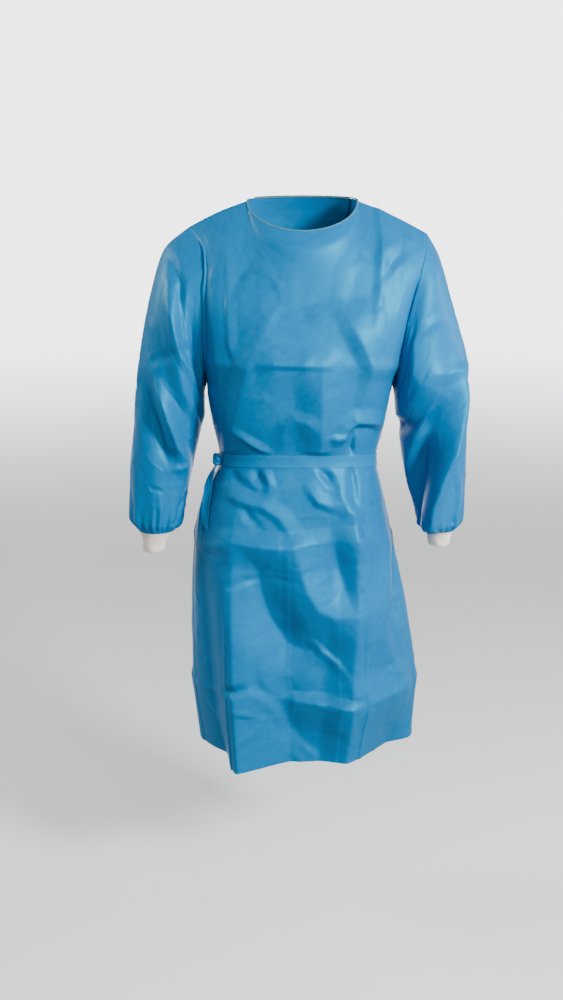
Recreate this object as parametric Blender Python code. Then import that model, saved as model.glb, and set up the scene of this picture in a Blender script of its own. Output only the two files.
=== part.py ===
"""Surgical gown of thin nonwoven cloth, hollow and as worn.

Metres, +z up, -y the front and +x the wearer's left. The origin lies between the shoulders,
at the height where the shoulder seams rest on the wearer, who holds the gown up.
"""
from collections import namedtuple
from math import pi

import bmesh
import bpy
import numpy as np

# Walls, seams and trims
CLOTH = 0.0016
KNIT_WALL = 0.0026
RIB_RISE = 0.0007
SEAM_GAP = 0.0003
BINDING_HEIGHT = 0.0045
BINDING_WALL = 0.0026
BELT_HEIGHT = 0.026
BELT_WALL = 0.0012
BELT_GAP = 0.0005

# Levels of the body, from the origin
SHOULDER_Z = -0.066
ARMPIT_Z = -0.372
BELT_Z = -0.533
BELT_TILT = 0.018
BELT_TILT_REACH = 0.16
HEM_Z = -1.172

# Neck edge of the panels and shoulder points
NECK_MID = 0.003
NECK_HALF = 0.112
NECK_SIDE_Z = -0.005
NECK_FRONT_DROP = 0.057
NECK_BACK_RISE = 0.005
NECK_CURVE = 1.15
NECK_FRONT_REACH = 0.078
NECK_BACK_REACH = 0.064
SHOULDER_RIGHT_Z = -0.056
SHOULDER_LEFT_Z = -0.068
SHOULDER_CROWN = 0.004
NECK_FADE = 1.6
NECK_LEAN = (0.66, 0.75)
SHOULDER_LEAN = (0.45, 0.90)

# Shares of a half turn: a panel's u runs -1..1 over the front, and on to 2 at the centre back.
# PAST_SEAM reads the back's side of a side seam. The leans are level and upward shares of an
# edge's outward direction.
PAST_SEAM = 1.0001
TINY = 1e-6
FRONT_COLUMNS = 36
NECK_COLUMNS = 10
NECK_SHARE = NECK_COLUMNS / FRONT_COLUMNS
LAP_SHARE = 0.18
LAP_RISE = 0.0030
FOLD_METRES_PER_U = 0.28

# Grid of the cloth walls
YOKE_ROWS = 12
CHEST_ROWS = 7
SKIRT_ROWS = 13
SKIRT_SPREAD = 1.25
BACK_COLUMNS = 9
LAP_COLUMNS = 7
SHARP_ANGLE = 0.7

# Half widths, depths and the set-back of the armhole edges; corner is the squareness of a
# quarter of the section, 2 for an ellipse
Section = namedtuple(
    "Section", "z right left front back edge_front edge_back corner_right corner_left corner_back"
)
BODY_SECTIONS = (
    Section(-0.066, 0.226, 0.254, 0.076, 0.068, 0.000, 0.000, 1.35, 1.35, 1.35),
    Section(-0.105, 0.198, 0.248, 0.100, 0.090, 0.040, 0.048, 1.7, 1.7, 1.7),
    Section(-0.160, 0.191, 0.233, 0.122, 0.112, 0.062, 0.072, 2.1, 2.1, 2.1),
    Section(-0.240, 0.191, 0.213, 0.137, 0.122, 0.068, 0.078, 2.5, 2.5, 2.4),
    Section(-0.320, 0.193, 0.199, 0.141, 0.120, 0.046, 0.050, 2.5, 2.5, 2.4),
    Section(-0.372, 0.194, 0.190, 0.139, 0.116, 0.000, 0.000, 2.5, 2.5, 2.4),
    Section(-0.450, 0.184, 0.177, 0.131, 0.108, 0.000, 0.000, 2.4, 2.4, 2.3),
    Section(-0.533, 0.169, 0.160, 0.112, 0.096, 0.000, 0.000, 2.3, 2.3, 2.2),
    Section(-0.590, 0.195, 0.172, 0.127, 0.110, 0.000, 0.000, 2.4, 2.4, 2.3),
    Section(-0.690, 0.222, 0.192, 0.138, 0.126, 0.000, 0.000, 2.4, 2.4, 2.4),
    Section(-0.850, 0.230, 0.225, 0.146, 0.138, 0.000, 0.000, 2.1, 2.2, 2.4),
    Section(-1.020, 0.229, 0.249, 0.150, 0.148, 0.000, 0.000, 1.8, 1.8, 2.2),
    Section(-1.172, 0.214, 0.254, 0.153, 0.153, 0.000, 0.000, 1.5, 1.5, 2.1),
)

# A fold runs from (u, z) to (u, z) on the body; its rise is outwards, in metres. A crisp fold
# has a sharp edge, the others are round.
Fold = namedtuple("Fold", "u_start z_start u_end z_end rise_start rise_end reach crisp")
BODY_FOLDS = (
    # The skirt's front edges and the hollows between them
    Fold(-0.46, -0.61, -0.385, -1.20, 0.006, 0.080, 0.078, True),
    Fold(-0.02, -0.80, -0.02, -1.20, -0.006, -0.030, 0.110, False),
    Fold(0.40, -0.62, 0.29, -1.20, 0.006, 0.020, 0.042, True),
    Fold(0.60, -0.80, 0.58, -1.20, -0.004, -0.030, 0.100, False),
    # Drawn in above the belt
    Fold(-0.42, -0.34, -0.74, -0.50, -0.006, -0.013, 0.045, False),
    Fold(-0.52, -0.470, -0.250, -0.506, 0.008, 0.006, 0.034, False),
    Fold(0.250, -0.430, 0.260, -0.516, -0.003, -0.010, 0.038, False),
    Fold(0.400, -0.447, 0.760, -0.500, 0.007, 0.004, 0.036, False),
    # Let out below the belt
    Fold(0.140, -0.550, 0.300, -0.650, -0.011, -0.005, 0.036, False),
    Fold(0.430, -0.550, 0.420, -0.660, -0.008, -0.004, 0.032, False),
    Fold(-0.500, -0.604, -0.150, -0.672, 0.009, 0.005, 0.034, False),
    Fold(-0.420, -0.550, -0.230, -0.606, -0.008, -0.005, 0.032, False),
    # Long soft troughs of the skirt
    Fold(0.100, -0.700, 0.200, -0.950, -0.006, -0.005, 0.060, False),
    Fold(-0.240, -0.720, -0.260, -1.000, 0.004, 0.006, 0.050, False),
    # Back, drawn in between the shoulders and let out below
    Fold(1.300, -0.200, 1.420, -0.480, -0.004, -0.012, 0.050, False),
    Fold(-1.340, -0.220, -1.450, -0.480, -0.005, -0.012, 0.050, False),
    Fold(1.500, -0.640, 1.560, -1.200, -0.005, -0.024, 0.090, False),
    Fold(-1.480, -0.640, -1.520, -1.200, -0.005, -0.026, 0.090, False),
    Fold(1.150, -0.640, 1.160, -1.200, 0.004, 0.016, 0.070, False),
    Fold(-1.170, -0.640, -1.180, -1.200, 0.004, 0.014, 0.070, False),
)
# Gathers that the belt draws in over the back, uneven in length and depth
Gather = namedtuple("Gather", "u above below depth")
BACK_GATHERS = (
    Gather(1.11, 0.040, 0.055, -0.006),
    Gather(1.25, 0.062, 0.045, -0.009),
    Gather(1.41, 0.036, 0.072, -0.007),
    Gather(1.56, 0.055, 0.060, -0.010),
    Gather(1.70, 0.046, 0.050, -0.006),
    Gather(-1.13, 0.050, 0.044, -0.007),
    Gather(-1.24, 0.034, 0.066, -0.006),
    Gather(-1.38, 0.066, 0.052, -0.010),
    Gather(-1.53, 0.042, 0.074, -0.008),
    Gather(-1.68, 0.056, 0.046, -0.007),
)
GATHER_REACH = 0.022
GATHER_SPREAD = 0.03
GATHER_FADE = 0.3
BELT_PRESS = (0.011, 0.024)

# Sleeves: the ring through an outer and an inner point, and its reach forwards and back.
# The first row lies on the armhole, the last on the cuff's seam.
SleeveSection = namedtuple(
    "SleeveSection", "along outer_x outer_z inner_x inner_z middle_y half_depth"
)
SLEEVE_LEFT = (
    SleeveSection(0.00, 0.254, -0.068, 0.190, -0.372, 0.002, 0.072),
    SleeveSection(0.14, 0.281, -0.114, 0.195, -0.396, 0.002, 0.080),
    SleeveSection(0.28, 0.305, -0.195, 0.199, -0.434, 0.004, 0.080),
    SleeveSection(0.42, 0.330, -0.280, 0.207, -0.476, 0.006, 0.078),
    SleeveSection(0.56, 0.343, -0.370, 0.214, -0.522, 0.005, 0.074),
    SleeveSection(0.70, 0.350, -0.460, 0.223, -0.570, 0.000, 0.068),
    SleeveSection(0.84, 0.348, -0.565, 0.233, -0.622, -0.010, 0.060),
    SleeveSection(0.96, 0.343, -0.660, 0.243, -0.668, -0.020, 0.050),
    SleeveSection(1.00, 0.329, -0.681, 0.264, -0.681, -0.022, 0.036),
)
SLEEVE_RIGHT = (
    SleeveSection(0.00, -0.226, -0.056, -0.194, -0.372, 0.002, 0.072),
    SleeveSection(0.14, -0.278, -0.102, -0.199, -0.396, 0.002, 0.080),
    SleeveSection(0.28, -0.306, -0.190, -0.199, -0.434, 0.004, 0.080),
    SleeveSection(0.42, -0.324, -0.280, -0.209, -0.476, 0.006, 0.078),
    SleeveSection(0.56, -0.339, -0.370, -0.219, -0.518, 0.005, 0.074),
    SleeveSection(0.70, -0.348, -0.460, -0.231, -0.570, 0.000, 0.068),
    SleeveSection(0.84, -0.358, -0.565, -0.242, -0.622, -0.010, 0.060),
    SleeveSection(0.96, -0.359, -0.655, -0.252, -0.668, -0.020, 0.050),
    SleeveSection(1.00, -0.342, -0.683, -0.266, -0.683, -0.022, 0.038),
)
SLEEVE_RINGS = 22
RING_SPREAD = 0.92
ARMHOLE_FADE = 0.34
ARMHOLE_FLATTEN = 0.6
CUFF_GATHERS = 8
CUFF_GATHER_RISE = 0.0030
CUFF_GATHER_START = 0.74
CUFF_GATHER_END = 0.042
# A sleeve's folds, from (turn, along) to (turn, along): turn is 0 outside, 0.5 in front,
# 1 inside and 1.5 behind
SLEEVE_METRES_PER_TURN = 0.25
SLEEVE_FOLDS_LEFT = (
    Fold(0.20, 0.48, 0.56, 0.97, 0.008, 0.010, 0.062, True),
    Fold(0.95, 0.38, 0.36, 0.50, -0.010, -0.006, 0.050, False),
    Fold(0.70, 0.62, 0.86, 0.92, -0.010, -0.006, 0.050, False),
    Fold(1.35, 0.44, 1.75, 0.52, -0.009, -0.006, 0.050, False),
    Fold(1.20, 0.66, 1.60, 0.60, -0.008, -0.005, 0.050, False),
)
SLEEVE_FOLDS_RIGHT = (
    Fold(0.40, 0.20, 0.62, 0.34, 0.008, 0.007, 0.050, False),
    Fold(0.30, 0.55, 0.48, 0.67, -0.010, -0.007, 0.050, False),
    Fold(0.52, 0.53, 0.76, 0.68, 0.009, 0.006, 0.048, False),
    Fold(1.30, 0.42, 1.72, 0.50, -0.009, -0.006, 0.050, False),
    Fold(1.25, 0.62, 1.60, 0.68, -0.008, -0.005, 0.050, False),
)

# Knit cuffs, from the sleeve's end down
CuffSection = namedtuple("CuffSection", "drop middle_x half_width half_depth")
CUFF_LEFT = (
    CuffSection(0.000, 0.2965, 0.0325, 0.0360),
    CuffSection(0.010, 0.2960, 0.0275, 0.0310),
    CuffSection(0.022, 0.2957, 0.0240, 0.0280),
    CuffSection(0.034, 0.2955, 0.0220, 0.0265),
)
CUFF_RIGHT = (
    CuffSection(0.000, -0.3040, 0.0380, 0.0380),
    CuffSection(0.012, -0.3065, 0.0300, 0.0330),
    CuffSection(0.028, -0.3095, 0.0250, 0.0290),
    CuffSection(0.046, -0.3120, 0.0225, 0.0265),
)
CUFF_RIBS = 22
CUFF_ROWS = 4

# Knot at the wearer's right, and the two ends that hang from it
KNOT_U = -0.79
KNOT_SIZE = (0.0085, 0.0125, 0.0140)
KNOT_LIFT = 0.0110
KNOT_FACE = 1.6
KNOT_TILT = 0.5
KNOT_WRAP_RISE = 0.10
KNOT_WRAPS = 2.6
KNOT_FOOT = 0.0115
TieEnd = namedtuple(
    "TieEnd", "name u_start z_start u_end z_end half_width lift_start lift_end slant"
)
TIE_ENDS = (
    TieEnd("belt_end_front", -0.780, -0.5475, -0.640, -0.668, 0.0125, 0.0100, 0.0038, 0.008),
    TieEnd("belt_end_back", -0.835, -0.5475, -0.715, -0.700, 0.0125, 0.0060, 0.0008, 0.002),
)
TIE_ROWS = 9
TIE_COLUMNS = 3

BLUE = (0.030, 0.262, 0.520)
BLUE_BELT = (0.055, 0.300, 0.560)
KNIT_WHITE = (0.84, 0.82, 0.77)
BINDING_BLUE = (0.110, 0.300, 0.480)


def clear_scene():
    for item in list(bpy.data.objects):
        bpy.data.objects.remove(item, do_unlink=True)


def cloth_material(name, colour, roughness):
    material = bpy.data.materials.new(name)
    material.use_nodes = True
    shader = material.node_tree.nodes["Principled BSDF"]
    shader.inputs["Base Color"].default_value = (*colour, 1.0)
    shader.inputs["Roughness"].default_value = roughness
    shader.inputs["Metallic"].default_value = 0.0
    return material


def smooth(at, stations, values):
    """Read a monotone cubic curve through the stations."""
    x = np.asarray(stations, float)
    y = np.asarray(values, float)
    step = np.diff(x)
    slope = np.diff(y) / step
    lean = np.zeros_like(y)
    same_way = slope[:-1] * slope[1:] > 0
    together = np.where(same_way, slope[:-1] + slope[1:], 1.0)
    lean[1:-1] = np.where(same_way, 2 * slope[:-1] * slope[1:] / together, 0.0)
    lean[0] = slope[0]
    lean[-1] = slope[-1]
    at = np.clip(at, x[0], x[-1])
    i = np.clip(np.searchsorted(x, at) - 1, 0, len(step) - 1)
    t = (at - x[i]) / step[i]
    start = (1 + 2 * t) * (1 - t) ** 2 * y[i] + t * (1 - t) ** 2 * step[i] * lean[i]
    end = t * t * (3 - 2 * t) * y[i + 1] + t * t * (t - 1) * step[i] * lean[i + 1]
    return start + end


def column(rows, name, at, key):
    """Read one named column of a table at the given places."""
    stations = np.array([getattr(row, key) for row in rows])
    values = np.array([getattr(row, name) for row in rows])
    order = np.argsort(stations)
    return smooth(at, stations[order], values[order])


def unit(vectors):
    return vectors / np.linalg.norm(vectors, axis=-1, keepdims=True)


def fold_rise(folds, u, z, metres_per_u):
    """Sum the folds' rise at each place."""
    total = np.zeros(np.broadcast(u, z).shape)
    for fold in folds:
        start = np.array((fold.u_start * metres_per_u, fold.z_start))
        run = np.array((fold.u_end * metres_per_u, fold.z_end)) - start
        aside = u * metres_per_u - start[0]
        down = z - start[1]
        share = (aside * run[0] + down * run[1]) / (run @ run)
        near = np.clip(share, 0, 1)
        away = np.hypot(aside - near * run[0], down - near * run[1]) / fold.reach
        bell = np.clip(1 - away, 0, 1)
        if not fold.crisp:
            bell = bell * bell * (3 - 2 * bell)
        total += (fold.rise_start + near * (fold.rise_end - fold.rise_start)) * bell
    return total


def back_gathers():
    """The gathers as folds, one above and one below the belt for each."""
    folds = []
    for item in BACK_GATHERS:
        far = item.u + GATHER_SPREAD * np.sign(item.u)
        for way, length in ((1, item.above), (-1, item.below)):
            near = BELT_Z + way * BELT_HEIGHT / 2
            folds.append(
                Fold(
                    item.u, near, far, near + way * length,
                    item.depth, GATHER_FADE * item.depth, GATHER_REACH, False,
                )
            )
    return tuple(folds)


def top_point(u):
    """The panels' upper edge: the shoulder line, then the neck edge inside it."""
    front = np.abs(u) <= 1
    s = np.where(front, u, 2 * np.sign(u) - u)
    shoulder = np.clip((np.abs(s) - NECK_SHARE) / (1 - NECK_SHARE), 0, 1)
    turn = np.clip(s / NECK_SHARE, -1, 1) * pi / 2
    dip = np.cos(turn)
    x_neck = NECK_MID + NECK_HALF * np.sin(turn)
    y_neck = np.where(front, -NECK_FRONT_REACH, NECK_BACK_REACH) * dip**NECK_CURVE
    z_neck = NECK_SIDE_Z + np.where(front, -NECK_FRONT_DROP, NECK_BACK_RISE) * dip
    top = BODY_SECTIONS[0]
    x_end = np.where(s < 0, -top.right, top.left)
    z_end = np.where(s < 0, SHOULDER_RIGHT_Z, SHOULDER_LEFT_Z)
    crown = SHOULDER_CROWN * np.sin(shoulder * pi)
    x = x_neck + (x_end - x_neck) * shoulder
    z = z_neck + (z_end - z_neck) * shoulder + crown
    return np.stack((x, y_neck, z), axis=-1)


def row_z(w):
    """Height of row w: 0 at the shoulders, 1 at the armpits and 2 at the hem."""
    yoke = SHOULDER_Z + (ARMPIT_Z - SHOULDER_Z) * np.minimum(w, 1)
    return yoke + (HEM_Z - ARMPIT_Z) * np.maximum(w - 1, 0)


def row_at(z):
    """The row w of a height below the armpits."""
    return 1 + (ARMPIT_Z - z) / (ARMPIT_Z - HEM_Z)


def section_point(u, z):
    """A point of the plain body section at height z."""
    across = np.sin(u * pi / 2)
    ahead = np.cos(u * pi / 2)
    front = np.abs(u) <= 1
    reach = np.where(
        across < 0,
        column(BODY_SECTIONS, "right", z, "z"),
        column(BODY_SECTIONS, "left", z, "z"),
    )
    edge = np.where(
        front,
        -column(BODY_SECTIONS, "edge_front", z, "z"),
        column(BODY_SECTIONS, "edge_back", z, "z"),
    )
    deepest = np.where(
        front,
        -column(BODY_SECTIONS, "front", z, "z"),
        column(BODY_SECTIONS, "back", z, "z"),
    )
    front_power = np.where(
        across < 0,
        column(BODY_SECTIONS, "corner_right", z, "z"),
        column(BODY_SECTIONS, "corner_left", z, "z"),
    )
    power = np.where(front, front_power, column(BODY_SECTIONS, "corner_back", z, "z"))
    swell = (np.abs(across) ** power + np.abs(ahead) ** power) ** (-1 / power)
    x = reach * across * swell
    y = edge + (deepest - edge) * np.abs(ahead) * swell
    tilt = BELT_TILT * ahead * np.exp(-(((z - BELT_Z) / BELT_TILT_REACH) ** 2))
    return np.stack((x, y, z + tilt), axis=-1)


def body_base(u, w):
    """The unfolded body: sections, drawn up to the neck and shoulder edge at the top."""
    z = row_z(w)
    point = section_point(u, z)
    drawn = (np.clip(1 - w, 0, 1) ** NECK_FADE)[..., None]
    return point + (top_point(u) - section_point(u, np.full_like(z, SHOULDER_Z))) * drawn


def body_point(u, w):
    """The outer surface of the body, with its folds."""
    u, w = np.broadcast_arrays(np.asarray(u, float), np.asarray(w, float))
    point = body_base(u, w)
    step = 0.01
    inside = np.where(np.abs(u) <= 1, np.sign(u) * np.minimum(np.abs(u), 1 - step), u)
    sideways = body_base(inside + step, w) - body_base(inside - step, w)
    downwards = body_base(inside, w + step) - body_base(inside, np.maximum(w - step, 0))
    outwards = unit(np.cross(sideways, -downwards))
    z = row_z(w)
    rise = fold_rise(BODY_FOLDS + back_gathers(), (u + 2) % 4 - 2, z, FOLD_METRES_PER_U)
    flat, loose = BELT_PRESS
    free = np.clip((np.abs(z - BELT_Z) - flat) / (loose - flat), 0, 1)
    return point + outwards * (rise * free)[..., None]


def neck_frame(u):
    """Outward and climbing directions at the neck edge, both about level with the slope."""
    front = np.abs(u) <= 1
    s = np.where(front, u, 2 * np.sign(u) - u)
    turn = np.clip(s / NECK_SHARE, -1, 1) * pi / 2
    across = np.sin(turn)
    ahead = np.where(front, -1.0, 1.0) * np.cos(turn)
    flat = np.zeros_like(across)
    level, upward = NECK_LEAN
    outwards = unit(np.stack((level * across, level * ahead, flat + upward), axis=-1))
    climb = unit(np.stack((-upward * across, -upward * ahead, flat + level), axis=-1))
    return outwards, climb


def grid_normals(points, closed=False):
    """Outward directions of a grid whose columns run anticlockwise seen from above."""
    if closed:
        around = np.roll(points, -1, axis=1) - np.roll(points, 1, axis=1)
    else:
        around = np.gradient(points, axis=1)
    down = np.gradient(points, axis=0)
    return unit(np.cross(down, around))


def body_rows():
    """Rows of the panels, with rows on the belt's two edges and its middle."""
    yoke = np.linspace(0, 1, YOKE_ROWS + 1)
    belt_top = BELT_Z + BELT_HEIGHT / 2
    belt_foot = BELT_Z - BELT_HEIGHT / 2
    chest = np.linspace(ARMPIT_Z, belt_top, CHEST_ROWS + 1)[1:]
    spread = np.linspace(0, 1, SKIRT_ROWS + 1) ** SKIRT_SPREAD
    skirt = belt_foot + (HEM_Z - belt_foot) * spread
    return np.concatenate((yoke, row_at(chest), [row_at(BELT_Z)], row_at(skirt)))


def front_columns():
    return np.linspace(-1, 1, FRONT_COLUMNS + 1)


def back_columns():
    """From a side seam to past the centre back, for the wearer's left."""
    side = np.linspace(1, 2 - NECK_SHARE, BACK_COLUMNS)
    lap = np.linspace(2 - LAP_SHARE, 2 + LAP_SHARE, LAP_COLUMNS)
    return np.concatenate((side, lap))


def armhole_centre(side):
    rows = np.linspace(0, 1, YOKE_ROWS + 1)
    edge = np.full_like(rows, side)
    both = np.concatenate((body_point(edge, rows), body_point(edge * PAST_SEAM, rows)))
    return both.mean(axis=0)


def armhole_direction(points, side):
    """Away from the middle of the armhole, in the loop's own plane."""
    outwards = points - armhole_centre(side)
    outwards[:, 0] *= ARMHOLE_FLATTEN
    return unit(outwards)


def panel_grid(u, is_front):
    """Outer points and outward directions of one body panel."""
    w = body_rows()
    at_seam = np.abs(np.abs(u) - 1) < TINY
    edge = np.where(at_seam, u if is_front else u * PAST_SEAM, u)
    points = body_point(edge[None, :], w[:, None])
    outwards = grid_normals(points)
    neck, _ = neck_frame(edge)
    share = np.abs(np.where(np.abs(u) <= 1, u, 2 - np.abs(u)))
    on_shoulder = share > NECK_SHARE + TINY
    level, upward = SHOULDER_LEAN
    slope = unit(np.stack((level * np.sign(u), 0 * u, 0 * u + upward), axis=-1))
    outwards[0] = np.where(on_shoulder[:, None], slope, neck)
    seam = np.flatnonzero(at_seam)
    for col in seam:
        side = np.sign(u[col])
        yoke = slice(0, YOKE_ROWS + 1)
        outwards[yoke, col] = armhole_direction(points[yoke, col], side)
        outwards[0, col, 1] = 0
        outwards[YOKE_ROWS, col, 1] = 0
        outwards[YOKE_ROWS + 1:, col, 1] = 0
    apart = -SEAM_GAP / 2 if is_front else SEAM_GAP / 2
    points[0, on_shoulder, 1] += apart
    points[np.ix_(range(YOKE_ROWS, len(w)), seam)] += (0, apart, 0)
    return points, unit(outwards)


def wall(name, outer, inner, material, closed=False):
    """Close a grid of outer points and one of inner points into a wall."""
    rows, cols = outer.shape[:2]
    mesh = bmesh.new()
    skins = [[[mesh.verts.new(p) for p in row] for row in skin] for skin in (outer, inner)]
    outer_skin, inner_skin = skins
    last = cols if closed else cols - 1

    def pave(a, b, c, d):
        mesh.faces.new((a, b, c))
        mesh.faces.new((a, c, d))

    for i in range(rows - 1):
        for j in range(last):
            k = (j + 1) % cols
            corners = ((i, j), (i + 1, j), (i + 1, k), (i, k))
            pave(*[outer_skin[r][c] for r, c in corners])
            pave(*[inner_skin[r][c] for r, c in ((i, j), (i, k), (i + 1, k), (i + 1, j))])
    for j in range(last):
        k = (j + 1) % cols
        pave(outer_skin[0][k], inner_skin[0][k], inner_skin[0][j], outer_skin[0][j])
        pave(outer_skin[-1][j], inner_skin[-1][j], inner_skin[-1][k], outer_skin[-1][k])
    if not closed:
        for i in range(rows - 1):
            pave(outer_skin[i][0], inner_skin[i][0], inner_skin[i + 1][0], outer_skin[i + 1][0])
            pave(outer_skin[i + 1][-1], inner_skin[i + 1][-1], inner_skin[i][-1], outer_skin[i][-1])
    bmesh.ops.recalc_face_normals(mesh, faces=mesh.faces)
    return finish(name, mesh, material)


def finish(name, mesh, material):
    data = bpy.data.meshes.new(name)
    mesh.to_mesh(data)
    mesh.free()
    data.shade_smooth()
    data.set_sharp_from_angle(angle=SHARP_ANGLE)
    data.materials.append(material)
    item = bpy.data.objects.new(name, data)
    bpy.context.collection.objects.link(item)
    return item


def sleeve_grid(side, sections, folds):
    """Outer points of a sleeve, from the armhole's own points down to the cuff's seam."""
    along = np.linspace(0, 1, SLEEVE_RINGS + 1) ** RING_SPREAD
    along[-2] = sections[-2].along
    rows = np.linspace(0, 1, YOKE_ROWS + 1)
    ahead = body_point(np.full_like(rows, side), rows)
    behind = body_point(np.full_like(rows, side * PAST_SEAM), rows)
    armhole = np.concatenate((ahead, behind[-2:0:-1]))
    turn = np.linspace(0, 2 * pi, len(armhole), endpoint=False)
    outer = np.stack([column(sections, n, along, "along") for n in ("outer_x", "outer_z")], -1)
    inner = np.stack([column(sections, n, along, "along") for n in ("inner_x", "inner_z")], -1)
    middle = (outer + inner) / 2
    half = (outer - inner) / 2
    swing = np.cos(turn)[None, :]
    x = middle[:, :1] + half[:, :1] * swing
    z = middle[:, 1:] + half[:, 1:] * swing
    depth = column(sections, "half_depth", along, "along")[:, None]
    y = column(sections, "middle_y", along, "along")[:, None] - depth * np.sin(turn)[None, :]
    points = np.stack((x, y, z), axis=-1)
    fade = np.clip(1 - along / ARMHOLE_FADE, 0, 1) ** 2
    points += (armhole - points[0])[None] * fade[:, None, None]
    points[0] = armhole + (side * SEAM_GAP, 0, 0)
    outwards = sleeve_normals(points, side)
    gather = np.clip((along - CUFF_GATHER_START) / (1 - CUFF_GATHER_START), 0, 1)
    gather = gather * np.clip((1 - along) / CUFF_GATHER_END, 0, 1)
    wave = np.cos(turn * CUFF_GATHERS)[None, :] * gather[:, None] * CUFF_GATHER_RISE
    place = turn[None, :] / pi
    free = np.clip(along / ARMHOLE_FADE, 0, 1) * np.clip((1 - along) / CUFF_GATHER_END, 0, 1)
    fold = fold_rise(folds, place, along[:, None], SLEEVE_METRES_PER_TURN)
    rise = wave + fold * free[:, None]
    points = points + outwards * rise[..., None]
    outwards = sleeve_normals(points, side)
    outwards[0] = armhole_direction(armhole, side)
    outwards[0, 0, 1] = 0
    outwards[0, YOKE_ROWS, 1] = 0
    return points, unit(outwards)


def sleeve_normals(points, side):
    """Outward directions of a sleeve, whose columns run from the outside to the front."""
    return grid_normals(points, closed=True) * -side


def cuff_grid(sections, top_z, middle_y):
    """Outer and inner points of a ribbed cuff: ribs outside, plain inside."""
    drops = np.linspace(0, sections[-1].drop, CUFF_ROWS + 1)[:, None]
    turn = np.linspace(0, 2 * pi, CUFF_RIBS * 2, endpoint=False)[None, :]
    rib = np.where(np.arange(CUFF_RIBS * 2) % 2 == 0, 0.0, -RIB_RISE)[None, :]
    width = column(sections, "half_width", drops, "drop")
    depth = column(sections, "half_depth", drops, "drop")
    middle = column(sections, "middle_x", drops, "drop")
    skins = []
    for inset in (rib, -KNIT_WALL + 0 * rib):
        x = middle + (width + inset) * np.cos(turn)
        y = middle_y - (depth + inset) * np.sin(turn)
        z = top_z - SEAM_GAP - drops + 0 * turn
        skins.append(np.stack((x, y, z), axis=-1))
    return skins


def lapped(points, outwards, u):
    """Move the over lap out, clear of the under lap."""
    share = np.clip((u - (2 - NECK_SHARE)) / (NECK_SHARE - LAP_SHARE), 0, 1)
    return points + outwards * (LAP_RISE * share)[None, :, None]


def build_body(cloth):
    u_front = front_columns()
    u_left = back_columns()
    u_right = -u_left[::-1]
    front, front_out = panel_grid(u_front, True)
    left, left_out = panel_grid(u_left, False)
    left = lapped(left, left_out, u_left)
    right, right_out = panel_grid(u_right, False)
    wall("front_panel", front, front - front_out * CLOTH, cloth)
    wall("back_panel_left", left, left - left_out * CLOTH, cloth)
    wall("back_panel_right", right, right - right_out * CLOTH, cloth)
    return (u_front, front, front_out), (u_left, left, left_out), (u_right, right, right_out)


def build_binding(front, left, right, material):
    """The bound neck edge, from the under lap round the front to the over lap."""
    base = []
    for u, points, _ in (right, front, left):
        share = np.where(np.abs(u) <= 1, np.abs(u), 2 - np.abs(u))
        at_neck = np.abs(share) <= NECK_SHARE + TINY
        outwards, climb = neck_frame(u)
        base.append((points[0, at_neck], outwards[at_neck], climb[at_neck]))
    keep = [slice(0, -1), slice(None), slice(1, None)]
    edge, outwards, climb = [
        np.concatenate([part[n][cut] for part, cut in zip(base, keep)]) for n in range(3)
    ]
    proud = (BINDING_WALL - CLOTH) / 2
    heights = (SEAM_GAP, SEAM_GAP + BINDING_HEIGHT / 2, SEAM_GAP + BINDING_HEIGHT)
    outer = np.stack([edge + climb * h + outwards * proud for h in heights][::-1])
    wall("neck_binding", outer, outer - outwards * BINDING_WALL, material)


def build_belt(front, left, right, material):
    """The waist tie, on the panels' own points, moved out."""
    first = YOKE_ROWS + CHEST_ROWS
    rows = slice(first, first + 3)
    past_lap = right[0] > -2 + LAP_SHARE + TINY
    points = np.concatenate(
        (front[1][rows], left[1][rows, 1:], right[1][rows][:, past_lap][:, :-1]), axis=1
    )
    outwards = np.concatenate(
        (front[2][rows], left[2][rows, 1:], right[2][rows][:, past_lap][:, :-1]), axis=1
    )
    inner = points + outwards * BELT_GAP
    outer = points + outwards * (BELT_GAP + BELT_WALL)
    wall("waist_belt", outer, inner, material, closed=True)


def build_knot(material):
    """A rounded lump where the belt is tied, leaning along the cloth."""
    at = body_point(np.array(KNOT_U), np.array(row_at(BELT_Z)))
    away = unit(np.array((at[0], at[1] * KNOT_FACE, 0.0)))
    beside = np.array((-away[1], away[0], 0.0))
    up = np.array((0.0, 0.0, 1.0))
    centre = at + away * KNOT_LIFT
    mesh = bmesh.new()
    bmesh.ops.create_icosphere(mesh, subdivisions=3, radius=1.0)
    for vertex in mesh.verts:
        a, b, c = vertex.co
        wrap = 1 + KNOT_WRAP_RISE * np.cos(KNOT_WRAPS * (b + KNOT_TILT * c) * pi)
        place = centre + away * a * KNOT_SIZE[0] + (
            beside * b * KNOT_SIZE[1] + up * c * KNOT_SIZE[2]
        ) * wrap
        place[2] = max(place[2], centre[2] - KNOT_FOOT)
        vertex.co = place
    bmesh.ops.recalc_face_normals(mesh, faces=mesh.faces)
    finish("belt_knot", mesh, material)
    return centre[2] - KNOT_FOOT


def build_tie_end(end, knot_foot, material):
    """A free end of the belt, hanging against the skirt."""
    drop = np.linspace(0, 1, TIE_ROWS)
    side = np.linspace(-1, 1, TIE_COLUMNS)
    z = end.z_start + (end.z_end - end.z_start) * drop[:, None] - end.slant * drop[:, None] * side
    u = end.u_start + (end.u_end - end.u_start) * drop[:, None]
    u = u + side[None, :] * end.half_width / FOLD_METRES_PER_U
    base = body_point(u, row_at(z))
    outwards = grid_normals(base)
    lift = end.lift_start + (end.lift_end - end.lift_start) * drop[:, None, None]
    inner = base + outwards * lift
    outer = inner + outwards * BELT_WALL
    inner[0, :, 2] = knot_foot - SEAM_GAP
    outer[0, :, 2] = knot_foot - SEAM_GAP
    wall(end.name, outer, inner, material)


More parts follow.
